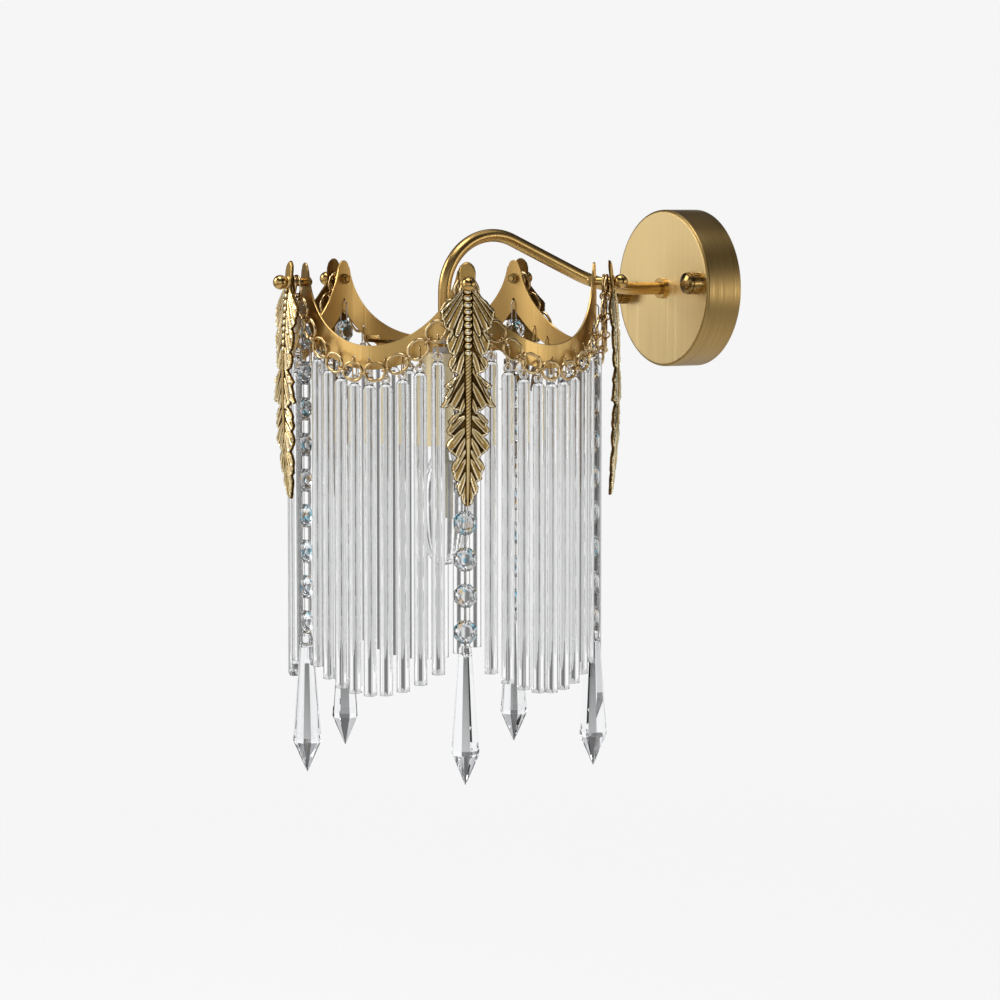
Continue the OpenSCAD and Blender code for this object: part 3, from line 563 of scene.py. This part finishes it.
def combine(base, tool, operation):
    """Boolean of two (verts, faces) solids, given back in the same form."""
    solids = mesh_object("solid", *base), mesh_object("tool", *tool)
    cut = solids[0].modifiers.new("combine", "BOOLEAN")
    cut.operation = operation
    cut.solver = "EXACT"
    cut.object = solids[1]
    mesh = bpy.data.meshes.new_from_object(solids[0].evaluated_get(bpy.context.evaluated_depsgraph_get()))
    verts = np.array([v.co[:] for v in mesh.vertices])
    faces = [tuple(q.vertices) for q in mesh.polygons]
    for obj in solids:
        data = obj.data
        bpy.data.objects.remove(obj)
        bpy.data.meshes.remove(data)
    bpy.data.meshes.remove(mesh)
    return verts, faces


def bore(z, radius):
    """A round bar along X, to cut a hole with."""
    ends = [np.array((x, 0, z)) for x in (-HOLE_CUT, HOLE_CUT)]
    return loft([ring_of(end, Y_AXIS, Z_AXIS, radius, radius, HOLE_SIDES) for end in ends])


def turn_z(verts, degrees):
    a = math.radians(degrees)
    c, s = math.cos(a), math.sin(a)
    x, y, z = verts.T
    return np.column_stack((x * c - y * s, x * s + y * c, z))


def at_shade(verts, degrees=0.0):
    """From the shade's own millimetres to the scene's metres."""
    return (turn_z(verts, degrees) + np.array((0, -REACH, 0))) * MM


# ---------------------------------------------------------------- camera, fitted to the photograph
CAMERA_LENS = 123.7
CAMERA_AT = (1.8031, -1.2920, 0.0450)
CAMERA_DOWN = 4.70
CAMERA_TURN = 57.62


def camera():
    data = bpy.data.cameras.new("camera")
    data.lens = CAMERA_LENS
    data.sensor_width = 36
    data.clip_start = 0.05
    data.clip_end = 30
    cam = bpy.data.objects.new("camera", data)
    cam.location = CAMERA_AT
    cam.rotation_euler = (math.radians(90 - CAMERA_DOWN), 0, math.radians(CAMERA_TURN))
    bpy.context.scene.collection.objects.link(cam)
    bpy.context.scene.camera = cam


camera()


# ---------------------------------------------------------------- canopy
def canopy():
    """A shell turned about Y, with its face and its rim brushed in different directions; the face's paler
    brass is painted light and the rim's darker brass painted shade.
    """
    r, d, b, t = CANOPY_R, CANOPY_DEPTH, CANOPY_ROUND, CANOPY_WALL
    segments, bevel, hole = 192, 0.3, TUBE_D / 2 + 0.1
    face_rings, wall_ring = (40, 30, 20, 10, 5), 12
    outer = [(r - t, 0.0), (r - bevel, 0.0), (r, bevel), (r, d - b)]
    outer += [(r - b + b * math.cos(a), d - b + b * math.sin(a)) for a in np.linspace(0.15, math.pi / 2, 9)]
    face_from = len(outer) - 2
    outer += [(x, d) for x in (r - b - 1, *face_rings, hole)]
    inner = [(hole, d - t), (r - b, d - t), (r - b, d - b), (r - t, d - b), (r - t, wall_ring)]
    v, f = lathe(outer + inner, segments, closed=True)
    v = np.column_stack((v[:, 0], -v[:, 2], v[:, 1])) * MM
    around = [0 if face_from <= p < len(outer) - 1 else 1 for p in range(len(outer + inner))]
    make("canopy_brushed", v, f, ["canopy_face", "canopy_rim"], "fixture", ["canopy_cover"],
         smooth=40, kinds=around * segments)


canopy()


# ---------------------------------------------------------------- arm
def arm_path():
    """Middle line of the tube, (y, z): level out of the wall, up the slope, over the hump and down."""
    slope = math.radians(SLOPE)
    hump_y, hump_z = -(REACH - HUMP_R), HUMP_RISE - HUMP_R
    start_y, start_z = hump_y + HUMP_R * math.sin(slope), hump_z + HUMP_R * math.cos(slope)
    ease_y = start_y + start_z / math.tan(slope) + EASE_R * math.tan(slope / 2)
    path = [(TUBE_START_Y, 0.0), (-26.0, 0.0), (-40.0, 0.0)]
    for a in np.radians(np.linspace(0, SLOPE, 24)):
        path.append((ease_y - EASE_R * math.sin(a), EASE_R - EASE_R * math.cos(a)))
    for a in np.radians(np.linspace(90 - SLOPE, 180, 44)):
        path.append((hump_y + HUMP_R * math.cos(a), hump_z + HUMP_R * math.sin(a)))
    return path + [(-REACH, -15.0), (-REACH, TUBE_END_Z)]


def arm():
    path = np.array(arm_path())
    outside, inside = [], []
    for k, (y, z) in enumerate(path):
        before, after = path[max(k - 1, 0)], path[min(k + 1, len(path) - 1)]
        ahead = (after - before) / np.linalg.norm(after - before)
        up = np.array((0, -ahead[1], ahead[0]))
        for rings, r in ((outside, TUBE_D / 2), (inside, TUBE_D / 2 - TUBE_WALL)):
            rings.append(ring_of(np.array((0, y, z)), X_AXIS, up, r, r, TUBE_SIDES))
    v, f = loft(outside + inside[::-1] + outside[:1], cap=False)
    make("arm_tube_swept", v * MM, f, ["tube"], "fixture", ["arm_tube"],
         smooth=40, welded=1e-7)


arm()


# ---------------------------------------------------------------- crown band
def crown():
    """Upright sections side by side round the band, with its holes cut out."""
    steps, rows, rim = 180, 12, 0.3
    outer_r, inner_r = CROWN_R, CROWN_R - SHEET_T
    sections = []
    for i in range(POINTS):
        for k in range(steps):
            a = -HALF_BAY + BAY * k / steps
            az = math.radians(point_az(i) + HALF_BAY + a)
            lo, hi = low_edge(a), top_edge(a)
            zs = [lo + rim + (hi - lo - 2 * rim) * t for t in np.linspace(0, 1, rows)]
            section = [(inner_r + rim, lo), (outer_r - rim, lo)] + [(outer_r, z) for z in zs]
            section += [(outer_r - rim, hi), (inner_r + rim, hi)] + [(inner_r, z) for z in zs[::-1]]
            sections.append([(r * math.cos(az), r * math.sin(az), z) for r, z in section])
    sheet = (np.vstack(sections), faces_round(len(sections), len(sections[0])))
    bars = []
    for i in range(POINTS):
        holes = [(point_az(i), SCREW_Z, SCREW_HOLE_R), (point_az(i), STRAND_HOLE_Z, STRAND_HOLE_R)]
        for a in map(rod_angle, range(RODS)):
            holes.append((point_az(i) + HALF_BAY + a, eye_z(a) + HOOK_L, HOOK_HOLE_R))
        for az, z, radius in holes:
            v, f = bore(z, radius)
            bars.append((turn_z(v + X_AXIS * SHEET_R, az), f))
    v, f = combine(sheet, merge(bars), "DIFFERENCE")
    make("crown_band_brushed", at_shade(v), f, ["band"], "fixture", ["crown_band"],
         smooth=40, welded=0)


crown()


# ---------------------------------------------------------------- leaves
LEAF_GRID = 0.34  # distance between the leaf's corners
LEAF_COLUMNS = 51  # columns of them on each side of the midrib
LEAF_SNAP = 0.12  # corners nearer the outline than this are moved onto it
LEAF_THIN = 0.75  # how much thinner the leaf's plate is at its outline
SHOULDER, SHOULDER_W = 0.55, 0.45  # how much of that a soft shoulder gives back, and how far in
BORDER_IN, BORDER_W, BORDER_H = 0.95, 0.42, 0.66  # raised line along the outline: its place, width and height
RIM_IN, RIM_W = 0.5, 0.36  # raised rim of a leaflet: its distance from the leaflet's edge, and its width
VEIN_W, VEIN_FROM, VEIN_TO = 0.3, 0.12, 0.8  # vein of a leaflet: its width, and the stretch that it takes
VEINED = 2.05  # leaflets of more than this half width have a vein
GROOVE = 0.55  # width of the dark groove round a leaflet
LEAFLET_ROOT, LEAFLET_FULL = 0.28, 0.7  # share of its width that a leaflet starts with, and where it has all
LEAFLET_ROUND, LEAFLET_ROUND_L = 0.86, 0.2  # where a leaflet's tip starts to round off, and over what length
# The dark line at the outline and the dark trough beside the midrib are painted shade on the patina
DARK_EDGE = 0.3  # width of the dark line at the outline
TROUGH = 0.7  # width of the dark trough beside the midrib
HUB_R, HUB_SLOPE = 4.0, 0.4  # round seat of the screw
MIDRIB_TOP, BALLS_END, ROPE_END = 14, 55, 104  # the midrib is a row of balls, then a rope, then a plain rib
BALLS_FROM, BALL_PITCH, ROPE_PITCH = 15, 4.0, 2.1
BALL_H, ROPE_H, RIB_H = 1.35, 1.1, 0.6
MIDRIB_HALF = ([14, 20, 60, 100, 110, 138, 143], [1.6, 2.4, 1.9, 1.5, 1.0, 0.8, 0.4])  # (down), (half width)
# Of these tones, the trough's and the head's edge's dark is painted shade, and the screw seat's light is a
# painted highlight
PLATE_TONE, TROUGH_TONE, HEAD_TONE, HEAD_EDGE_TONE, HUB_TONE, BACK_TONE = 0.1, 0.02, 0.46, 0.05, 0.7, 0.2


def segment_distance(px, py, ax, ay, bx, by):
    """Distance of points from a segment, their nearest places on it, and how far along it these are."""
    dx, dy = bx - ax, by - ay
    t = np.clip(((px - ax) * dx + (py - ay) * dy) / (dx * dx + dy * dy), 0, 1)
    qx, qy = ax + t * dx, ay + t * dy
    return np.hypot(px - qx, py - qy), qx, qy, t


def soft_ridge(distance, centre, width):
    return np.exp(-(((distance - centre) / width) ** 2))


def from_leaflet(px, py, leaflet):
    """Distance of points from a leaflet's bent middle line, and how far along it they are, 0 to 1."""
    steps = 8
    (x0, y0), (x1, y1), (x2, y2), _ = leaflet
    t = np.linspace(0, 1, steps + 1)
    xs = (1 - t) ** 2 * x0 + 2 * t * (1 - t) * x1 + t**2 * x2
    ys = (1 - t) ** 2 * y0 + 2 * t * (1 - t) * y1 + t**2 * y2
    best, along = np.full(px.shape, 99.0), np.zeros(px.shape)
    for k in range(steps):
        d, _, _, part = segment_distance(px, py, xs[k], ys[k], xs[k + 1], ys[k + 1])
        better = d < best
        best[better] = d[better]
        along[better] = (k + part[better]) / steps
    return best, along


def leaflet_width(along, widest):
    """Half width along a leaflet: narrow at the midrib, and rounded at its tip."""
    swell = np.sin(np.pi / 2 * np.clip(along / LEAFLET_FULL, 0, 1)) ** 1.2
    width = widest * (LEAFLET_ROOT + (1 - LEAFLET_ROOT) * swell)
    rounding = np.sqrt(np.clip(1 - ((along - LEAFLET_ROUND) / LEAFLET_ROUND_L) ** 2, 0.16, 1))
    return width * np.where(along > LEAFLET_ROUND, rounding, 1)


def midrib(u, v):
    """Height of the midrib, of its plain rib alone, and its half width."""
    half = np.interp(v, *MIDRIB_HALF)
    rib = np.sqrt(np.clip(1 - (u / half) ** 2, 0, 1))
    phase = (v - BALLS_FROM) / BALL_PITCH
    from_middle = phase - np.floor(phase) - 0.5
    ball = np.sqrt(np.clip(1 - (u / (half * 1.12)) ** 2 - (from_middle / 0.5) ** 2, 0, 1))
    rope = rib * (0.5 + 0.5 * np.abs(np.sin(np.pi * (v + 0.9 * u) / ROPE_PITCH)))
    height = np.where(v < BALLS_END, BALL_H * ball, np.where(v < ROPE_END, ROPE_H * rope, RIB_H * rib))
    return height, rib, half


def leaf_relief(u, v, edge):
    """Height of the relief, in mm, and its tone, from 0 (dark groove, patina with painted shade) to 1 (ridge,
    wear with a painted highlight), at a distance u across and v down. edge is the distance from the outline."""
    across = np.abs(u)
    height = 0.1 * np.clip(edge / 2, 0, 1)
    tone = np.full(u.shape, PLATE_TONE)
    for leaflet in LEAFLETS:
        (_, top), _, (_, tip), widest = leaflet
        near = (v > top - 4) & (v < tip + 4)
        off, along = from_leaflet(across[near], v[near], leaflet)
        width = leaflet_width(along, widest)
        ridge = soft_ridge(width - off, RIM_IN, RIM_W)
        if widest > VEINED:
            vein = 0.8 * soft_ridge(off, 0.0, VEIN_W) * (along > VEIN_FROM) * (along < VEIN_TO)
            ridge = np.maximum(ridge, vein)
        inside = off < width
        groove = (off >= width) & (off < width + GROOVE)
        # Leaflets' rims and veins take a painted highlight in the tone, and their grooves take painted shade
        for field, value in (
            (height, 0.05 + 0.3 * along + (0.42 + 0.25 * along) * ridge),
            (tone, 0.24 + 0.2 * along + 0.8 * ridge),
        ):
            part = field[near]
            part[inside] = value[inside]
            part[groove] = np.minimum(part[groove], 0.0)
            field[near] = part
    border = soft_ridge(edge, BORDER_IN, BORDER_W)
    height = np.maximum(height, BORDER_H * border)
    # The raised border takes a painted highlight, and the outline a painted line of shade
    tone = np.where(edge < DARK_EDGE, 0.0, np.maximum(tone, border))
    mid, rib, half = midrib(u, v)
    below = v > MIDRIB_TOP
    trough = (across < half + TROUGH) & below
    height = np.where(trough, np.minimum(height, 0.05), height)
    tone = np.where(trough, TROUGH_TONE, tone)
    # The midrib's balls, rope and rib take a painted highlight
    wear_and_painted_light = np.maximum(tone, np.where(v < ROPE_END, 1.1 * (mid - 0.3), 0.8 * rib))
    tone = np.where(below, wear_and_painted_light, np.where(edge < DARK_EDGE, HEAD_EDGE_TONE, HEAD_TONE))
    height = np.where(below, np.maximum(height, mid), 0.25 * np.clip(edge / 0.8, 0, 1))
    # The screw's seat takes a painted highlight
    hub = np.clip((HUB_R - np.hypot(u, v - LEAF_SCREW)) / HUB_SLOPE, 0, 1)
    return np.maximum(height, hub), np.clip(np.maximum(tone, HUB_TONE * hub), 0, 1)


def leaf_mesh():
    """A grid trimmed to the leaf's outline, its front raised by the relief, and closed by a plain back."""
    right = [(w, v) for v, w in LEAF_OUTLINE]
    poly = np.array(right + [(-w, v) for w, v in right[::-1]], float)
    columns = np.arange(-LEAF_COLUMNS, LEAF_COLUMNS + 1) * LEAF_GRID
    across, down = np.meshgrid(columns, np.arange(-2, int(LEAF_L / LEAF_GRID) + 4) * LEAF_GRID)
    shape = across.shape
    dist = np.full(shape, 1e9)
    near_x, near_y = np.zeros(shape), np.zeros(shape)
    inside = np.zeros(shape, bool)
    for (ax, ay), (bx, by) in zip(poly, np.roll(poly, -1, axis=0)):
        d, qx, qy, _ = segment_distance(across, down, ax, ay, bx, by)
        better = d < dist
        dist[better], near_x[better], near_y[better] = d[better], qx[better], qy[better]
        crossing = (bx - ax) * (down - ay) / (by - ay + 1e-12) + ax
        inside ^= ((ay > down) != (by > down)) & (across < crossing)

    # Squares of the grid with a corner well inside are kept, and their corners near the outline go onto it
    rows, cols = shape[0] - 1, shape[1] - 1
    corners = [np.s_[dy:rows + dy, dx:cols + dx] for dy in (0, 1) for dx in (0, 1)]
    keep = np.zeros((rows, cols), bool)
    for corner in corners:
        keep |= inside[corner] & (dist[corner] > LEAF_SNAP)
    used = np.zeros(shape, bool)
    for corner in corners:
        used[corner] |= keep
    snap = used & (~inside | (dist < LEAF_SNAP))
    x = np.where(snap, near_x, across)[used]
    y = np.where(snap, near_y, down)[used]
    edge = np.where(inside & ~snap, dist, 0.0)[used]

    height, tone = leaf_relief(x, y, edge)
    front = LEAF_T - LEAF_THIN + SHOULDER * (1 - soft_ridge(edge, 0.0, SHOULDER_W)) + height
    curl = -0.0028 * x * x + 0.25 * np.sin(y / 5.5) * (np.abs(x) / 16) ** 2
    z = SCREW_Z + LEAF_SCREW - y
    back = LEAF_BACK_R - LEAF_BOW + np.sqrt(LEAF_BOW**2 - (z - LEAF_BOW_Z) ** 2)
    v_front = np.column_stack((back + front + curl, x, z))
    v_back = np.column_stack((back + curl + 0.12 * (1 - np.clip(edge / 0.6, 0, 1)), x, z))

    n = len(x)
    index = -np.ones(shape, int)
    index[used] = np.arange(n)
    square = (index[:-1, :-1], index[:-1, 1:], index[1:, 1:], index[1:, :-1])
    faces, border = [], {}
    for quad in np.stack(square, -1)[keep].tolist():
        faces += [tuple(quad[::-1]), tuple(p + n for p in quad)]
        for p, r in zip(quad, quad[1:] + quad[:1]):
            key = (min(p, r), max(p, r))
            border[key] = None if key in border else (p, r)
    faces += [(p, r, r + n, p + n) for p, r in filter(None, border.values())]
    return np.vstack((v_front, v_back)), faces, np.concatenate((tone, np.full(n, BACK_TONE)))


def leaves():
    v, f, relief = leaf_mesh()
    for i in range(POINTS):
        node = "leaf_%d" % (i + 1)
        make(node + "_cast", at_shade(v, point_az(i)), f, ["leaf"], "fixture", [node],
             smooth=50, welded=1e-6, relief=relief)


leaves()


# ---------------------------------------------------------------- knobs
def knobs():
    """Balls on low feet, turned about X."""
    r, foot_h = KNOB_D / 2, 0.35
    profile = [(0.0, 0.0), (2.3, 0.0), (2.6, 0.25)]  # the foot
    for a in np.linspace(-math.asin((KNOB_STAND - foot_h) / r), math.pi / 2, 22)[:-1]:
        profile.append((r * math.cos(a), KNOB_STAND + r * math.sin(a)))
    profile.append((0.0, KNOB_STAND + r))
    v, f = lathe(profile, 40)
    v = np.column_stack((v[:, 2] + LEAF_FRONT_R, v[:, 0], v[:, 1] + SCREW_Z))
    v, f = merge([(turn_z(v, point_az(i)), f) for i in range(POINTS)])
    make("ball_knobs_polished", at_shade(v), f, ["polished"], "fixture", ["ball_knobs"],
         smooth=40, welded=1e-7)


knobs()


# ---------------------------------------------------------------- glass rods
def rod_mesh():
    """A round rod, drawn in to a flat neck, with a pierced eye. The eye's middle is the origin."""
    r = ROD_D / 2
    sections = [(up - ROD_L, r - less, r - less) for up, less in ((0, 0.5), (0.12, 0.2), (0.45, 0), (4, 0))]
    sections += [(-ROD_L * 0.66, r * 0.995, r), (-ROD_L * 0.33, r, r * 0.995)]
    sections += [(up - ROD_NECK, r * thick, r * wide) for up, thick, wide in (
        (-1.2, 1, 1), (-0.5, 0.985, 0.99), (0, 0.94, 0.95), (0.5, 0.85, 0.88), (1, 0.7, 0.79),
        (1.5, 0.52, 0.69), (2.1, 0.36, 0.6), (2.8, 0.25, 0.5),
    )]
    body = loft([ring_of(Z_AXIS * z, X_AXIS, Y_AXIS, a, b, ROD_SIDES) for z, a, b in sections])
    middle, half = (EYE_D + EYE_HOLE) / 4, (EYE_D - EYE_HOLE) / 4
    turns = np.linspace(0, 2 * math.pi, 14, endpoint=False)
    v, f = lathe([(middle + half * math.cos(t), EYE_T / 2 * math.sin(t)) for t in turns], 28, closed=True)
    eye = (np.column_stack((v[:, 2], v[:, 0], v[:, 1])), f)
    return combine(combine(body, eye, "UNION"), bore(0, EYE_HOLE / 2), "DIFFERENCE")


def rods():
    base, faces = rod_mesh()
    for i in range(POINTS):
        parts = []
        for a in map(rod_angle, range(RODS)):
            v = base + np.array((SHEET_R, 0, eye_z(a)))
            parts.append((turn_z(v, point_az(i) + HALF_BAY + a), faces))
        v, f = merge(parts)
        node = "glass_rods_%d" % (i + 1)
        make(node + "_clear", at_shade(v), f, ["rod"], "fixture", [node], smooth=45)


rods()


# ---------------------------------------------------------------- beads
def bead_mesh():
    """An eight sided bead with a table, stars, kites and girdle facets on each side."""
    half, girdle = BEAD_T / 2, BEAD_GIRDLE / 2
    table_r, kite_r, kite_x = 3.68, 5.4, girdle + (half - girdle) * 0.55
    flat_r = BEAD_AF / 2
    corner_r = flat_r / math.cos(math.radians(22.5))
    verts, faces, girdles = [], [], []

    def ring(x, radii, turn=0.0):
        """Adds a ring of corners about X, and gives the number of its first."""
        start = len(verts)
        for k, radius in enumerate(radii):
            a = math.radians(turn + 360 * k / len(radii))
            verts.append((x, radius * math.sin(a), radius * math.cos(a)))
        return start

    for side in (1, -1):
        table = ring(side * half, [table_r] * 8)
        kite = ring(side * kite_x, [kite_r] * 8, turn=22.5)
        rim = ring(side * girdle, [flat_r, corner_r] * 8)
        facets = [tuple(range(table, table + 8))]
        for k in range(8):
            after, before = (k + 1) % 8, (k - 1) % 8
            facets.append((table + k, table + after, kite + k))
            facets.append((table + k, kite + k, rim + 2 * k, kite + before))
            facets.append((kite + k, rim + 2 * k + 1, rim + 2 * k))
            facets.append((kite + k, rim + 2 * after, rim + 2 * k + 1))
        faces += facets if side > 0 else [q[::-1] for q in facets]
        girdles.append(rim)
    front, back = girdles
    for k in range(16):
        after = (k + 1) % 16
        faces.append((front + k, front + after, back + after, back + k))
    solid = (np.array(verts), faces)
    for z in (-BEAD_HOLE, BEAD_HOLE):
        solid = combine(solid, bore(z, BEAD_HOLE_R), "DIFFERENCE")
    return solid


def strands():
    base, faces = bead_mesh()
    for i in range(POINTS):
        places = [np.array((SHEET_R, 0, FIRST_BEAD - k * BEAD_PITCH)) for k in range(BEADS)]
        v, f = merge([(turn_z(base + place, point_az(i)), faces) for place in places])
        node = "bead_strand_%d" % (i + 1)
        make(node + "_cut", at_shade(v), f, ["bead"], "strand_%d" % (i + 1), [node], smooth=0)


strands()


# ---------------------------------------------------------------- drops
def drop_mesh():
    """Eight sided, pointed below, flattened to a pierced tongue above."""
    top, low = DROP_TOP, DROP_TOP - DROP_L
    t = np.radians(22.5 + 45 * np.arange(8))
    to_corner = 1 / math.cos(math.radians(22.5))
    rings = []
    for z, r in ((low + 0.1, 0.2), (low + DROP_POINT, DROP_W / 2), (top - 0.9, 3.6), (top, 2.7)):
        rings.append(np.column_stack((r * to_corner * np.cos(t), r * to_corner * np.sin(t), np.full(8, z))))
    solid = loft(rings)
    above, beside = top + 2, 12
    wedge = [(1.8, above), (1.8, top - 8.2), (2.6, top - 9.6), (beside, top - 9.6), (beside, above)]
    n = len(wedge)
    for side in (-1, 1):  # a wedge is cut off on each side, and leaves the tongue
        v = np.array([(side * x, y, z) for y in (-beside, beside) for x, z in wedge])
        f = [tuple(range(n)), tuple(range(2 * n - 1, n - 1, -1))]
        f += [(k, n + k, n + (k + 1) % n, (k + 1) % n) for k in range(n)]
        if side > 0:
            f = [q[::-1] for q in f]
        solid = combine(solid, (v, f), "DIFFERENCE")
    return combine(solid, bore(DROP_HOLE_Z, DROP_HOLE_R), "DIFFERENCE")


def drops():
    base, faces = drop_mesh()
    for i in range(POINTS):
        v = turn_z(base + X_AXIS * SHEET_R, point_az(i))
        node = "drop_%d" % (i + 1)
        make(node + "_cut", at_shade(v), faces, ["drop"], "pendant_%d" % (i + 1), [node],
             smooth=0)


drops()


# ---------------------------------------------------------------- solids that keep their shape
KEPT = {
    "wall_bracket": "steel", "canopy_studs": "steel", "stud_nuts": "steel", "canopy_cap_nuts": "nut",
    "arm_collar": "polished", "arm_lock_nut": "steel", "terminal_block": "plastic", "lamp_lead": "plastic",
    "spider_bar": "polished", "arm_end_nuts": "steel", "lamp_holder": "plastic", "candle_sleeve": "sleeve",
    "bulb_cap": "cap", "bulb_glass": "bulb", "bulb_filament": "stick", "point_screws": "polished",
    "point_spacers": "polished", "point_nuts": "nut", "strand_hooks": "silver",
}
for i in range(1, POINTS + 1):
    KEPT["swag_chain_%d" % i] = "chain"
    KEPT["rod_hooks_%d" % i] = "hook"
    KEPT["strand_links_%d" % i] = "silver"
for name, key in KEPT.items():
    slots = NODES[name].data.materials
    slots.clear()
    slots.append(MATERIALS[key])


# ---------------------------------------------------------------- studio
PALE = 0.921  # what the camera sees behind the object

# The world's grey from straight down (0) to straight up (1), as metal shows it and as glass lets it through
METAL_LEVELS = [
    (0.0, (0.55, 0.55, 0.55)), (0.14, (0.45, 0.45, 0.45)), (0.22, (0.1, 0.1, 0.1)),
    (0.31, (0.12, 0.12, 0.12)), (0.36, (0.7, 0.7, 0.7)), (0.42, (0.96, 0.96, 0.96)),
    (0.57, (0.98, 0.98, 0.98)), (0.62, (0.6, 0.6, 0.6)), (0.67, (0.08, 0.08, 0.085)),
    (0.86, (0.12, 0.12, 0.125)), (0.94, (1.0, 1.0, 1.02)),
]
GLASS_LEVELS = [
    (0.0, (0.75, 0.75, 0.75)), (0.2, (0.5, 0.5, 0.51)), (0.32, (0.8, 0.8, 0.81)),
    (0.42, (0.98, 0.98, 0.98)), (0.57, (1.0, 1.0, 1.0)), (0.68, (0.6, 0.6, 0.62)),
    (0.8, (0.45, 0.46, 0.48)), (0.92, (1.1, 1.1, 1.12)),
]
# Its upright bars: half their number, their turn in radians, their grey, and where their wave starts and ends
METAL_BARS = (2.0, -0.44, 0.1, 0.32, 0.72)
GLASS_BARS = (3.0, 1.696, 0.17, 0.42, 0.78)

FLOOR_AT = (0, -0.15, -0.55)
FLOOR_RINGS = (0.2, 0.6, 1.1, 1.6)
FLOOR_SIDES = 64
FLOOR_FADE = (0.5, 1.5)  # distances from its middle where the floor starts to fade away, and where it is gone
FLOOR_GLOW = 0.85  # share of its own light in what is seen of the floor


def upright_bars(tree, angle, bars):
    """Soft dark bars round the horizon, on white."""
    count, turn, dark, start, end = bars
    wave = math_node(tree, "SINE", plus(tree, times(tree, angle, count), turn))
    return map_range(tree, math_node(tree, "ABSOLUTE", wave), dark, 1.0, start, end)


def world():
    """Grey levels and upright bars for metal and glass to show, and plain pale for what the camera sees."""
    studio = bpy.data.worlds.new("studio")
    bpy.context.scene.world = studio
    t = cleared_tree(studio)
    out = t.nodes.new("ShaderNodeOutputWorld")
    tex = t.nodes.new("ShaderNodeTexCoord")
    way = t.nodes.new("ShaderNodeSeparateXYZ")
    t.links.new(tex.outputs["Generated"], way.inputs[0])
    height = map_range(t, way.outputs["Z"], 0, 1, -1, 1)
    angle = math_node(t, "ARCTAN2", way.outputs["Y"], way.outputs["X"])
    ray = t.nodes.new("ShaderNodeLightPath").outputs
    through_glass = ray["Is Transmission Ray"]
    levels = mix_color(t, through_glass, ramp(t, height, METAL_LEVELS), ramp(t, height, GLASS_LEVELS))
    bars = mix_color(t, through_glass, upright_bars(t, angle, METAL_BARS), upright_bars(t, angle, GLASS_BARS))
    lit = mix_color(t, 1.0, levels, bars, "MULTIPLY")
    background = t.nodes.new("ShaderNodeBackground")
    background.inputs["Strength"].default_value = 1.0
    t.links.new(mix_color(t, ray["Is Camera Ray"], lit, (PALE, PALE, PALE)), background.inputs["Color"])
    t.links.new(background.outputs[0], out.inputs[0])


def floor_material():
    """Pale matt floor that takes the shadow, glows where it is seen, and fades into the background."""
    mat = bpy.data.materials.new("floor_pale")
    t = cleared_tree(mat)
    out = t.nodes.new("ShaderNodeOutputMaterial")
    diffuse = t.nodes.new("ShaderNodeBsdfDiffuse")
    speck = noise(t, 40, detail=3, roughness=0.5)
    t.links.new(two_tone(t, speck, (0.79, 0.79, 0.79), (0.82, 0.82, 0.82)), diffuse.inputs["Color"])
    glow = t.nodes.new("ShaderNodeEmission")
    glow.inputs["Color"].default_value = (0.99, 0.99, 0.99, 1)
    ray = t.nodes.new("ShaderNodeLightPath").outputs
    seen = plus(t, ray["Is Camera Ray"], ray["Is Glossy Ray"], clamp=True)
    seen = plus(t, seen, ray["Is Transmission Ray"], clamp=True)
    ground = mix_shader(t, times(t, seen, FLOOR_GLOW), diffuse.outputs[0], glow.outputs[0])
    tex = t.nodes.new("ShaderNodeTexCoord")
    length = t.nodes.new("ShaderNodeVectorMath")
    length.operation = "LENGTH"
    t.links.new(tex.outputs["Object"], length.inputs[0])
    fade = map_range(t, length.outputs["Value"], 0, 1, *FLOOR_FADE)
    clear = t.nodes.new("ShaderNodeBsdfTransparent")
    t.links.new(mix_shader(t, fade, ground, clear.outputs[0]), out.inputs[0])
    return mat


def floor():
    rings = [ring_of(ORIGIN, X_AXIS, Y_AXIS, r, r, FLOOR_SIDES) for r in FLOOR_RINGS]
    v, f = loft(rings, cap=False)
    f.append(tuple(range(FLOOR_SIDES))[::-1])
    obj = mesh_object("floor", v, f)
    obj.data.materials.append(floor_material())
    obj.location = FLOOR_AT


def lamp(name, where, aim, size, watts):
    """A soft rectangular lamp that the camera doesn't see."""
    data = bpy.data.lights.new(name, "AREA")
    data.shape = "RECTANGLE"
    data.size, data.size_y = size
    data.energy = watts
    obj = bpy.data.objects.new(name, data)
    obj.location = where
    obj.visible_camera = False
    obj.rotation_euler = (Vector(aim) - Vector(where)).to_track_quat("-Z", "Y").to_euler()
    bpy.context.scene.collection.objects.link(obj)


world()
floor()
lamp("key", (-0.9, -1.6, 0.9), (0, -0.15, -0.08), (0.9, 0.9), 16)
lamp("front", (0.05, -1.6, 0.1), (0, -0.15, -0.05), (1.3, 1.2), 3)
lamp("top", (0.2, -0.6, 1.6), (0, -0.15, 0), (1.0, 0.6), 12)
lamp("rim", (1.45, 0.92, -0.12), (0, 0, 0), (0.5, 0.16), 1.3)
bpy.context.scene.view_settings.view_transform = "Standard"
